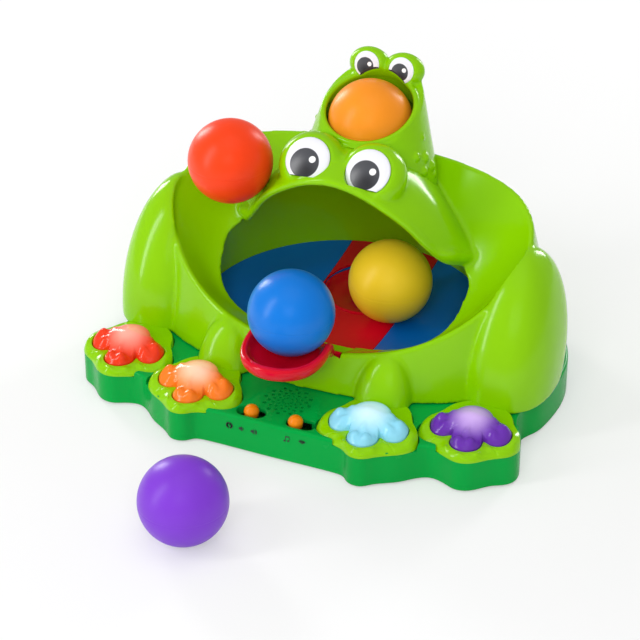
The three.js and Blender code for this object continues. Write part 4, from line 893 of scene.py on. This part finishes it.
# Rings of the tongue's underside and edge: share of its outline, drop in thicknesses.
UNDERSIDE = ((0.06, 1), (0.25, 1), (0.4, 1.1), (0.55, 1.3), (0.68, 1.6), (0.78, 1.9), (0.86, 2.1),
             (0.92, 2.1), (0.96, 1.9), (0.985, 1.6), (0.998, 1.2), (1.0, 0.85), (0.996, 0.5), (0.98, 0.2))
UPPER = (0.955, 0.93, 0.905, 0.88, 0.855, 0.83, 0.8, 0.77, 0.73, 0.68, 0.6, 0.5, 0.4, 0.25, 0.15, 0.06)
# Height, share of the outline and width of the rolled rim and of the hollow inside it.
RIM_ROLL, RIM_HOLLOW = (2.2, 0.87, 0.06), (1.2, 0.7, 0.14)


def hump(share, high, middle, wide):
    return high * math.exp(-((share - middle) / wide) ** 2)


def on_pin(*ends):
    return [(x, PIN_Y, PIN_Z) for x in ends]


def tongue_lever():
    """Scooped tongue with a thick rolled rim, on its pivot barrel."""
    def ring(share, drop, lift):
        x, y = super_point(circle(144), TONGUE_HALF, TONGUE_LONG, TONGUE_LONG, TONGUE_POWER)
        py = TONGUE_MID_Y + y * share
        front = eased((PIN_Y - py) / CURL_RUN)
        curl = TONGUE_CURL * share ** CURL_POWER * front
        return level(TONGUE_X + x * share, py, table(TONGUE_Y, TONGUE_Z, py) + curl - drop + lift * front)
    h = TONGUE_THICK
    rings = [ring(share, h * drop, 0) for share, drop in UNDERSIDE]
    rings += [ring(share, 0, hump(share, *RIM_ROLL) - hump(share, *RIM_HOLLOW)) for share in UPPER]
    made = rings_piece("tongue_lever", rings)
    half = BARREL_R / 2
    web = block("web", -NECK_HALF, NECK_HALF, PIN_Y - half, PIN_Y + half, PIN_Z, TONGUE_Z[5] - h / 2)
    barrel = pipe("barrel", on_pin(-NECK_HALF, 0, NECK_HALF), BARREL_R, 48)
    carve(made, [web, barrel], "UNION")
    reach = BARREL_R + GAP
    gap = block("spring_gap", -COIL_ROOM, COIL_ROOM, PIN_Y - reach, PIN_Y + reach, PIN_Z - reach,
                PIN_Z + BARREL_R - GAP)
    return carve(made, [pipe("bore", on_pin(-42, 0, 42), PIN_R + GAP, 24), gap])


def tongue_coil():
    turn = np.linspace(0, 2 * np.pi * COIL_TURNS, 400)
    along = np.linspace(-COIL_HALF, COIL_HALF, len(turn))
    line = level(along, PIN_Y + COIL_R * np.cos(turn), PIN_Z + COIL_R * np.sin(turn))
    return pipe("tongue_coil", line, COIL_WIRE, 8)


# ---------------------------------------------------------------- feet

def paw_reach(circles, theta):
    """Distance from the middle of a foot to the outline round its circles."""
    dx, dy = np.sin(theta), -np.cos(theta)
    total = np.zeros(len(theta))
    for x, y, r in circles:
        along = x * dx + y * dy
        left = r * r - x * x - y * y + along * along
        reach = along + np.sqrt(np.maximum(left, 0))
        total += np.where((left > 0) & (reach > 0), np.maximum(reach, 0) ** PAW_POWER, 0)
    return total ** (1 / PAW_POWER)


def paw_place(x, y, foot):
    a = math.radians(foot[2])
    return foot[0] + x * math.cos(a) - y * math.sin(a), foot[1] + x * math.sin(a) + y * math.cos(a)


def paw_ring(reach, share, z, foot, theta):
    x, y = paw_place(reach * share * np.sin(theta), -reach * share * np.cos(theta), foot)
    return level(x, y, z)


def caps(x, y, bumps):
    """Height of a group of round caps at (x, y), merged softly."""
    total = np.zeros(np.shape(x))
    for cx, cy, r, h in bumps:
        d = np.hypot(x - cx, y - cy) / r
        total += (h * np.sqrt(np.maximum(0, 1 - d * d))) ** 4
    return total ** 0.25


BUTTON_CAPS = ((0, 5, 17.5, 9.0), (0, 0, 9, 8.0), (17.5, 1, 9.5, 3.6), (-17.5, 1, 9.5, 3.6),
               (0, -11, 9.5, 3.6), (10.5, 2, 7.5, 5.4), (-10.5, 2, 7.5, 5.4), (0, -5, 7.5, 5.6))
TOE_PADS = ((21.5, 2, 3.6, 2.4), (-21.5, 2, 3.6, 2.4), (-4.4, -15.4, 3.3, 2.2), (4.4, -15.4, 3.3, 2.2),
            (16.5, -4.4, 3.4, 2.2), (-16.5, -4.4, 3.4, 2.2), (0, -9.5, 2.6, 1.4), (15.5, 6.5, 2.8, 1.4),
            (-15.5, 6.5, 2.8, 1.4))


BUTTON_SHARES = (1, 0.985, 0.96, 0.93, 0.89, 0.84, 0.78, 0.71, *np.linspace(0.64, 0.08, 8), 0.01)
EDGE_SHARE, EDGE_RUN = 0.86, 0.14
BEZEL_LIP, TOE_RIDGES, RIDGE_HIGH, RIDGE_SPAN = (0.5, 0.0, 0.05), 13, 1.3, (0.6, 0.22)


def toe_drop(y):
    """How much lower the toes stand than the palm, at a depth within the foot."""
    return TOE_DROP * eased((5 - y) / 15)


def foot_reach(theta):
    """Outline of a foot before the edge of the base limits its toes."""
    return paw_reach(PAW_BEZEL, theta) + TOE_REACH * np.clip((np.cos(theta) + 0.3) / 0.5, 0, 1)


def outline_reach(foot, theta):
    """Distance from the middle of a foot to the edge of the base."""
    edge = base_outline(0.0, 840)[:, :2] - foot[:2]
    after = np.roll(edge, -1, 0)
    reach = np.full(len(theta), 1000.0)
    for k, t in enumerate(theta + math.radians(foot[2])):
        way, side = np.array([math.sin(t), -math.cos(t)]), np.array([math.cos(t), math.sin(t)])
        p, q = edge @ side, after @ side
        cross = (p * q <= 0) & (np.abs(p - q) > 1e-9)
        share = (p[cross] / (p[cross] - q[cross]))[:, None]
        at = (edge[cross] + (after[cross] - edge[cross]) * share) @ way
        if (at > 0).any():
            reach[k] = at[at > 0].min()
    return reach


def blurred(loop, reach, width):
    """Rows of a closed loop averaged with their neighbours."""
    steps = np.arange(-reach, reach + 1)
    weight = np.exp(-(steps / width) ** 2 / 2)
    return sum(np.roll(loop, k, 0) * w for k, w in zip(steps, weight / weight.sum()))


def bezel_reach(foot, theta):
    """Outline of a foot: its toes reach the edge of the base, and a flange spreads behind its palm."""
    return blurred(np.minimum(foot_reach(theta), outline_reach(foot, theta) + 0.4), 24, 8.0)


def foot_button(name, foot):
    """Paw-shaped button with a domed palm, lower toes and a pad on each toe."""
    theta = circle(160)
    reach = paw_reach(PAW_BUTTON, theta)
    z0, side_top = FOOT_FLOOR + BUTTON_ROUND, BUTTON_EDGE - BUTTON_ROUND
    rings = [paw_ring(reach + 2, 1, z0, foot, theta), paw_ring(reach + 2, 1, z0 + BUTTON_ROUND, foot, theta),
             paw_ring(reach, 1, z0 + BUTTON_ROUND, foot, theta),
             paw_ring(reach, 1, side_top - toe_drop(-reach * np.cos(theta)), foot, theta)]
    for share in BUTTON_SHARES:
        x, y = reach * share * np.sin(theta), -reach * share * np.cos(theta)
        edge = math.sqrt(max(0.0, 1 - max(0.0, (share - EDGE_SHARE) / EDGE_RUN) ** 2))
        z = side_top - toe_drop(y) + BUTTON_ROUND * edge + caps(x, y, BUTTON_CAPS)
        for cx, cy, r, h in TOE_PADS:
            z = z + h * np.exp(-(np.hypot(x - cx, y - cy) / r) ** 3 * 1.3)
        rings.append(paw_ring(reach, share, z, foot, theta))
    return rings_piece(name, rings)


def foot_bezel(name, foot, body):
    """Light green foot round a button, with ridges on the slope of its toes."""
    theta = circle(360)
    inner = paw_reach(PAW_BUTTON, theta) + PAW_FIT
    width = np.maximum(bezel_reach(foot, theta) - inner, 0.8)
    front = eased((np.cos(theta) + 0.35) / 0.5)
    ridge = (0.5 + 0.5 * np.cos(theta * TOE_RIDGES)) ** 2 * front
    z0 = FOOT_FLOOR + GAP
    rings = [paw_ring(inner + 0.2, 1, z0, foot, theta), paw_ring(inner, 1, z0 + 4, foot, theta)]
    for s in np.linspace(0, 1, 26):
        reach = inner + width * s
        top = BEZEL_TOP - toe_drop(-reach * np.cos(theta))
        slope = 1 - (1 - max(0.0, (s - 0.06) / 0.94) ** 2.0) ** 0.62
        shelf = 0.18 * s + 0.55 * max(0.0, (s - 0.93) / 0.07) ** 2
        lip = hump(s, *BEZEL_LIP)
        fall = (slope * front * 0.93 + shelf * (1 - front)) * (top - z0)
        rise = RIDGE_HIGH * ridge * hump(s, 1, *RIDGE_SPAN)
        rings.append(paw_ring(reach, 1, top - lip - fall + rise, foot, theta))
    rings.append(paw_ring(inner + width, 1, z0, foot, theta))
    made = rings_piece(name, rings, closed_ends=False)
    return carve(made, [copied(body, "body_form")])


# ---------------------------------------------------------------- base

def evened(loop, n, blur):
    """Closed line with evenly spaced points, its corners eased."""
    step = np.linalg.norm(np.roll(loop, -1, 0) - loop, axis=1)
    at = np.concatenate([[0], np.cumsum(step)])
    closed = np.vstack([loop, loop[:1]])
    want = np.linspace(0, at[-1], n, endpoint=False)
    flat = np.stack([np.interp(want, at, closed[:, k]) for k in range(loop.shape[1])], 1)
    return blurred(flat, 8, blur)


def base_outline(inset, n=420):
    half = [*BASE_HALF]
    for deg in (4, 18, 33, 48, 63, 77):
        a = math.radians(deg)
        half.append((BASE_HALF_X * math.cos(a), BASE_MID_Y + BASE_BACK * math.sin(a)))
    loop = half + [(0, BASE_MID_Y + BASE_BACK)] + [(-x, y) for x, y in half[:0:-1]]
    flat = evened(curve_through(loop, np.linspace(0, 1, n * 4, endpoint=False), closed=True), n, 1.3)
    side, front, back = BASE_LIMITS
    flat[:, 0] = np.clip(flat[:, 0], -side, side)
    flat[:, 1] = np.clip(flat[:, 1], front, back)
    if inset:
        along = np.roll(flat, -1, 0) - np.roll(flat, 1, 0)
        along /= np.linalg.norm(along, axis=1)[:, None]
        flat = flat + np.stack([-along[:, 1], along[:, 0]], 1) * inset
    return level(flat[:, 0], flat[:, 1], 0.0)


def slot_loop(x, grow, n=48):
    t, r, half = circle(n), SLOT_WIDE / 2 + grow, (SLOT_LONG - SLOT_WIDE) / 2
    return level(x + r * np.cos(t) + np.sign(np.cos(t)) * half, KNOB_Y + r * np.sin(t), 0.0)


def perforation_tree():
    """Rows of round perforations on rays, larger towards the rim."""
    tree = bpy.data.node_groups.new("perforations", "GeometryNodeTree")
    face = tree.interface
    face.new_socket("Geometry", in_out="INPUT", socket_type="NodeSocketGeometry")
    for name, value in SPEAKER_HOLES.items():
        kind = "NodeSocketInt" if isinstance(value, int) else "NodeSocketFloat"
        face.new_socket(name, in_out="INPUT", socket_type=kind)
    face.new_socket("Finish", in_out="INPUT", socket_type="NodeSocketMaterial")
    face.new_socket("Geometry", in_out="OUTPUT", socket_type="NodeSocketGeometry")

    nodes = Nodes(tree)
    into, index = nodes.node("NodeGroupInput"), nodes.node("GeometryNodeInputIndex")
    rays, rings, first, pitch, hole, growth, depth = (into.other(name) for name in SPEAKER_HOLES)
    ring = nodes.maths("FLOOR", index / rays)
    stagger = nodes.maths("MODULO", ring, 2.0) * 0.5
    angle = (nodes.maths("MODULO", index, rays) + stagger) / rays * (2 * math.pi)
    radius, size = first + ring * pitch, hole + ring * growth
    place = nodes.node("ShaderNodeCombineXYZ", None, {0: radius * nodes.maths("COSINE", angle),
                                                      1: radius * nodes.maths("SINE", angle)})
    points = nodes.node("GeometryNodePoints", None, {"Count": rays * rings, "Position": place})
    pin = nodes.node("GeometryNodeMeshCylinder", None, {"Vertices": 10, "Radius": 1.0, "Depth": depth})
    scale = nodes.node("ShaderNodeCombineXYZ", None, {0: size, 1: size, 2: 1.0})
    spread = nodes.node("GeometryNodeInstanceOnPoints", None,
                        {"Points": points, "Instance": pin, "Scale": scale})
    real = nodes.node("GeometryNodeRealizeInstances", None, {0: spread})
    coated = nodes.node("GeometryNodeSetMaterial", None, {"Geometry": real, "Material": into.other("Finish")})
    nodes.node("NodeGroupOutput", None, {0: coated})
    return tree


def perforations(name, at, **sizes):
    """Pins for the holes over the speaker, made by the perforation tree."""
    made = linked(name, bpy.data.meshes.new(name))
    modifier = made.modifiers.new("perforations", "NODES")
    modifier.node_group = perforation_tree()
    for item in modifier.node_group.interface.items_tree:
        if item.in_out == "INPUT" and item.name in sizes:
            modifier[item.identifier] = sizes[item.name]
    settle(made)
    made.data.transform(Matrix.Translation(Vector(placed(at)[0])))
    return made


def deck_moulding():
    """Scalloped base deck with its skirt, wells, slots and speaker holes."""
    side_top = DECK_TOP - BASE_ROUND
    rings = [at_height(base_outline(0.0), z) for z in (SKIRT_BOTTOM, side_top)]
    for a in np.linspace(0.2, np.pi / 2, 6):
        edge = base_outline(BASE_ROUND * (1 - math.cos(a)))
        rings.append(at_height(edge, side_top + BASE_ROUND * math.sin(a)))
    made = rings_piece("deck_moulding", rings)
    inner = base_outline(WALL)
    room = rings_piece("deck_room", [at_height(inner, 0), at_height(inner, DECK_TOP - DECK_THICK)])
    theta = circle(180)
    around, edge = paw_reach(PAW_BEZEL, theta) + TOE_REACH + WALL, foot_reach(theta) + GAP
    button = paw_reach(PAW_BUTTON, theta) + PAW_FIT + 2
    for foot in FEET.values():
        floor = [paw_ring(around, 1, z, foot, theta) for z in (FOOT_FLOOR - DECK_THICK, DECK_TOP)]
        carve(room, [rings_piece("floor", floor)])
    carve(made, [room])
    opening = wall_point(ROUND, DECK_TOP, 4.5)
    carve(made, [rings_piece("opening", [at_height(opening, z) for z in THROUGH])])
    for foot in FEET.values():
        well = [paw_ring(edge, 1, z, foot, theta) for z in (FOOT_FLOOR, THROUGH[1])]
        shaft = [paw_ring(button, 1, z, foot, theta) for z in THROUGH]
        carve(made, [rings_piece("well", well), rings_piece("shaft", shaft)])
    for x in SLOT_X:
        levels = (0, -12.5), (0, -0.9), (0.25, -0.4), (0.9, 0.02), (0.9, 12.5)
        slot = [at_height(slot_loop(x, grow), DECK_TOP + up) for grow, up in levels]
        carve(made, [rings_piece("slot", slot)])
    side, deep = PLATE_HALF + GAP, PLATE_DEEP + GAP
    for x, (low, high) in zip(SLOT_X, PLATE_TRAVEL):
        carve(made, [block("plate_room", x + low - side, x + high + side, KNOB_Y - deep, KNOB_Y + deep, 20,
                           DECK_TOP - DECK_THICK)])
    holes = perforations("speaker_holes", (0, SPEAKER_Y, DECK_TOP), **SPEAKER_HOLES,
                         Finish=FINISHES["base_green"])
    return carve(made, [holes])


def flat_shape(points, x, z):
    """Thin printed shape on the front of the skirt."""
    rings = [[(x + px, ICON_Y + dy, z + pz) for px, pz in points] for dy in (0.06, -0.1)]
    return rings_piece("printed_shape", rings)


def bow(r, width, start, end, n=14):
    """Outline of a part of a ring."""
    a = np.radians(np.linspace(start, end, n))
    turns = [(r + width / 2, k) for k in a] + [(r - width / 2, k) for k in a[::-1]]
    return [(reach * math.cos(k), reach * math.sin(k)) for reach, k in turns]


def oval(x, z, rx, rz, n=16):
    return [(x + rx * math.cos(k), z + rz * math.sin(k)) for k in circle(n)]


def front_icons():
    """Pictograms below the slide switches: a dial, two loudspeakers, notes and waves."""
    horn = [(-1.9, -0.8), (-0.9, -0.8), (0.5, -2.0), (0.5, 2.0), (-0.9, 0.8), (-1.9, 0.8)]
    rods = [(-0.2, 0), (0.2, 0), (0.2, 1.6), (-0.2, 1.6)]
    hand = [(-0.1, -0.2), (1.2, -0.2), (1.2, 0.2), (-0.1, 0.2)]
    dial = (bow(2.3, 0.55, -80, 85), bow(2.3, 0.55, 95, 260), rods, hand)
    shapes = [(points, -29.5, 19) for points in dial]
    for x, waves in ((-20.5, 1), (-11.5, 2)):
        shapes.append((horn, x, 18.6))
        shapes += [(bow(1.5 + 1.1 * k, 0.5, -48, 48), x, 18.6) for k in range(waves)]
    notes = (oval(-1.5, -1.7, 0.85, 0.65), oval(1.3, -1.3, 0.85, 0.65),
             [(-1.05, -1.7), (-0.65, -1.7), (-0.65, 2.2), (-1.05, 2.2)],
             [(1.75, -1.3), (2.15, -1.3), (2.15, 2.6), (1.75, 2.6)],
             [(-0.65, 1.3), (1.75, 1.7), (1.75, 2.6), (-0.65, 2.2)])
    shapes += [(points, 13.5, 19.4) for points in notes]
    shapes += [(bow(1.0 + 1.1 * k, 0.5, 40, 140), 25.0, 18.0) for k in range(3)]
    return joined("front_icons", [flat_shape(*shape) for shape in shapes])


def joined(name, pieces):
    """One piece from several."""
    work = bmesh.new()
    for part in pieces:
        work.from_mesh(part.data)
    mesh = bpy.data.meshes.new(name)
    work.to_mesh(mesh)
    work.free()
    drop(*pieces)
    return linked(name, mesh)


def slider_knob(name, x):
    """Round-topped slider knob."""
    dome = [(KNOB_R * math.cos(a), KNOB_Z + KNOB_R * math.sin(a)) for a in np.linspace(0, 1.54, 14)]
    return lathe(name, [(4.4, KNOB_LOW), (4.9, KNOB_LOW + 0.5), (5.0, KNOB_Z - 0.8)] + dome, x, KNOB_Y, 56)


def slider_plate(name, x):
    """Flat plate that holds a knob from below the deck."""
    return block(name, x - PLATE_HALF, x + PLATE_HALF, KNOB_Y - PLATE_DEEP, KNOB_Y + PLATE_DEEP,
                 KNOB_LOW - PLATE_THICK, KNOB_LOW)


def play_ball(name, centre):
    """Blow-moulded ball with a fine parting line."""
    rings = []
    for phi in sorted({*np.linspace(-np.pi / 2 + 0.03, np.pi / 2 - 0.03, 48), -0.012, -0.004, 0.004, 0.012}):
        r = BALL_R - (SEAM_DEPTH if abs(phi) < 0.008 else 0.0)
        rings.append(hoop(circle(96), r * math.cos(phi), r * math.sin(phi)))
    return turned(rings_piece(name, rings), centre, 0.0)


# ---------------------------------------------------------------- assembly

def build_body():
    solid, room, near_room = body_solid(0.0), body_solid(WALL), body_solid(WALL + GAP)
    worn(body_moulding(solid, room), "body_green", "frame", "body_shell", 50)
    worn(baby_moulding(solid), "body_green", "frame", "baby_frog_shell", 50)
    worn(mouth_wall(near_room), "body_green", "frame", "mouth_liner", 40)
    for key, foot in FEET.items():
        worn(foot_bezel("foot_" + key, foot, solid), "body_green", "frame", "foot_bezel_" + key, 50)
        colour, painted_glow = BUTTON_AND_PAINTED_LIGHT_COLOURS[key]
        # Middle of the glow painted on each button.
        middle = tuple(placed((foot[0], foot[1] + 3, BUTTON_TOP))[0])
        finish = painted_light_button("painted_light_" + key, linear(colour), linear(painted_glow), middle)
        button = foot_button("paw_button_" + key, foot)
        worn(button, "button_" + key, "button_" + key, "foot_button_" + key, 60, finish)
    drop(solid, room, near_room)


def build_eyes():
    big = eye_print("eye_print", (-0.06, -0.2), (0.26, 0.0), (0.66, 0.15))
    small = eye_print("baby_eye_print", (-0.08, -0.15), (0.26, 0.06), (0.68, 0.17))
    for label, side in (("left", -1), ("right", 1)):
        plate = eye_plate("big_eye_" + label, EYE_C, EYE_TILT, EYE_R, EYE_THICK, side, [], LID_SHARE)
        worn(plate, "eye_white", "frame", "eye_" + label, 40, big)
        plate = eye_plate("small_eye_" + label, BABY_EYE_C, BABY_EYE_TILT, BABY_EYE_R, EYE_THICK / 2, side,
                          [exit_bore(0.2), ring_bar(GAP)])
        worn(plate, "eye_white", "frame", "baby_eye_" + label, 40, small)


def build_mouth():
    worn(mouth_floor(), "dish_blue", "frame", "mouth_dish", 40)
    worn(throat_band(), "tongue_red", "frame", "throat_strip", 40)
    worn(launch_cup(), "tongue_red", "frame", "launch_cup", 40)
    worn(tongue_lever(), "tongue_red", "tongue", "tongue", 45)
    worn(tongue_coil(), "steel", "frame", "tongue_spring")


def build_base():
    worn(deck_moulding(), "base_green", "frame", "base_deck", 40)
    for key, x in KNOBS.items():
        worn(slider_knob(key + "_slider_knob", x), "knob_orange", key + "_slider", key + "_knob", 50)
        worn(slider_plate(key + "_slider_plate", x), "black_plastic", key + "_slider", sharp=30)
    worn(front_icons(), "black_plastic", "frame", sharp=30)


def build_balls():
    for key, centre in BALLS.items():
        worn(play_ball("play_ball_" + key, centre), "ball_" + key, "ball_" + key, "ball_" + key)


def coat_carried_over():
    """Gives every node that still shows the finish of its slot."""
    for part in frame["record"]["subparts"]:
        finish = FINISHES.get(part["material_slot"])
        node = frame["nodes"].get(part["node"])
        if finish and node:
            node.data.materials.clear()
            node.data.materials.append(finish)


# ---------------------------------------------------------------- studio

AZIMUTH, ELEVATION = math.radians(23.87896), math.radians(31.58816)
CAMERA_AT, FOCAL, SENSOR = (0.57800, -1.34752, 0.94017), 135, 36
LEVEL = math.cos(ELEVATION)
BACK = Vector((math.sin(AZIMUTH) * LEVEL, -math.cos(AZIMUTH) * LEVEL, math.sin(ELEVATION)))
SKY, WHITE, PALE = 0.38, (1, 1, 1, 1), (0.9, 0.9, 0.9, 1)
FLOOR_HALF, FLOOR_FADE = 6, (0.2, 1.0, 0.4, 1.0)
TOY_AT, FEET_AT = (0, 0, 0.08), (0, 0.02, 0.08)
# Name, place, size, power, aim, and whether it shows in glossy pieces.
LAMPS = (("left_softbox", (-1.2, 0.66, 0.5), (0.3, 0.6), 7, TOY_AT, True),
         ("right_softbox", (0.42, 1.35, 0.55), (0.3, 0.6), 7, TOY_AT, True),
         ("left_strip", (-0.95, -1.0, 0.72), (0.2, 1.3), 8, TOY_AT, True),
         ("overhead_fill", (0.1, -0.3, 1.8), (1.4, 1.4), 7, TOY_AT, False),
         ("front_fill", (0.45, -1.35, 1.0), (0.9, 0.7), 10.5, FEET_AT, False))


def camera():
    data = bpy.data.cameras.new("camera")
    data.lens, data.sensor_width, data.clip_end = FOCAL, SENSOR, 50
    made = linked("camera", data)
    made.location = CAMERA_AT
    made.rotation_euler = (-BACK).to_track_quat("-Z", "Y").to_euler()
    bpy.context.scene.camera = made


def lamp(name, place, size, power, aim, shiny):
    data = bpy.data.lights.new(name, "AREA")
    data.shape, data.size, data.size_y, data.energy = "RECTANGLE", size[0], size[1], power
    made = linked(name, data)
    made.location = place
    made.rotation_euler = (Vector(aim) - Vector(place)).to_track_quat("-Z", "Y").to_euler()
    made.visible_glossy = shiny


def studio():
    """Floor that fades to white, an even sky and the lamps."""
    h = FLOOR_HALF
    mesh = bpy.data.meshes.new("floor")
    mesh.from_pydata([(-h, -h, 0), (h, -h, 0), (h, h, 0), (-h, h, 0)], [], [(0, 1, 2, 3)])
    finish = Finish("pale_floor")
    pale = finish.node("ShaderNodeBsdfDiffuse", None, {"Color": PALE})
    white = finish.node("ShaderNodeEmission", None, {"Color": WHITE, "Strength": 1.0})
    away = finish.distance(finish.place(), (0, 0, 0))
    share = finish.seen() * finish.smooth(away, *FLOOR_FADE)
    mixed = finish.node("ShaderNodeMixShader", None, {0: share, 1: pale, 2: white})
    finish.node("ShaderNodeOutputMaterial", None, {0: mixed})
    mesh.materials.append(finish.material)
    linked("floor", mesh)
    world = bpy.data.worlds.new("studio")
    world.use_nodes = True
    sky = Nodes(world.node_tree)
    fill, white = (sky.node("ShaderNodeBackground", None, {"Color": WHITE, "Strength": power})
                   for power in (SKY, 1.0))
    mixed = sky.node("ShaderNodeMixShader", None, {0: sky.seen(), 1: fill, 2: white})
    sky.node("ShaderNodeOutputWorld", None, {0: mixed})
    bpy.context.scene.world = world
    for values in LAMPS:
        lamp(*values)
    bpy.context.scene.view_settings.view_transform = "Standard"


camera()
build_body()
build_eyes()
build_mouth()
build_base()
build_balls()
coat_carried_over()
studio()
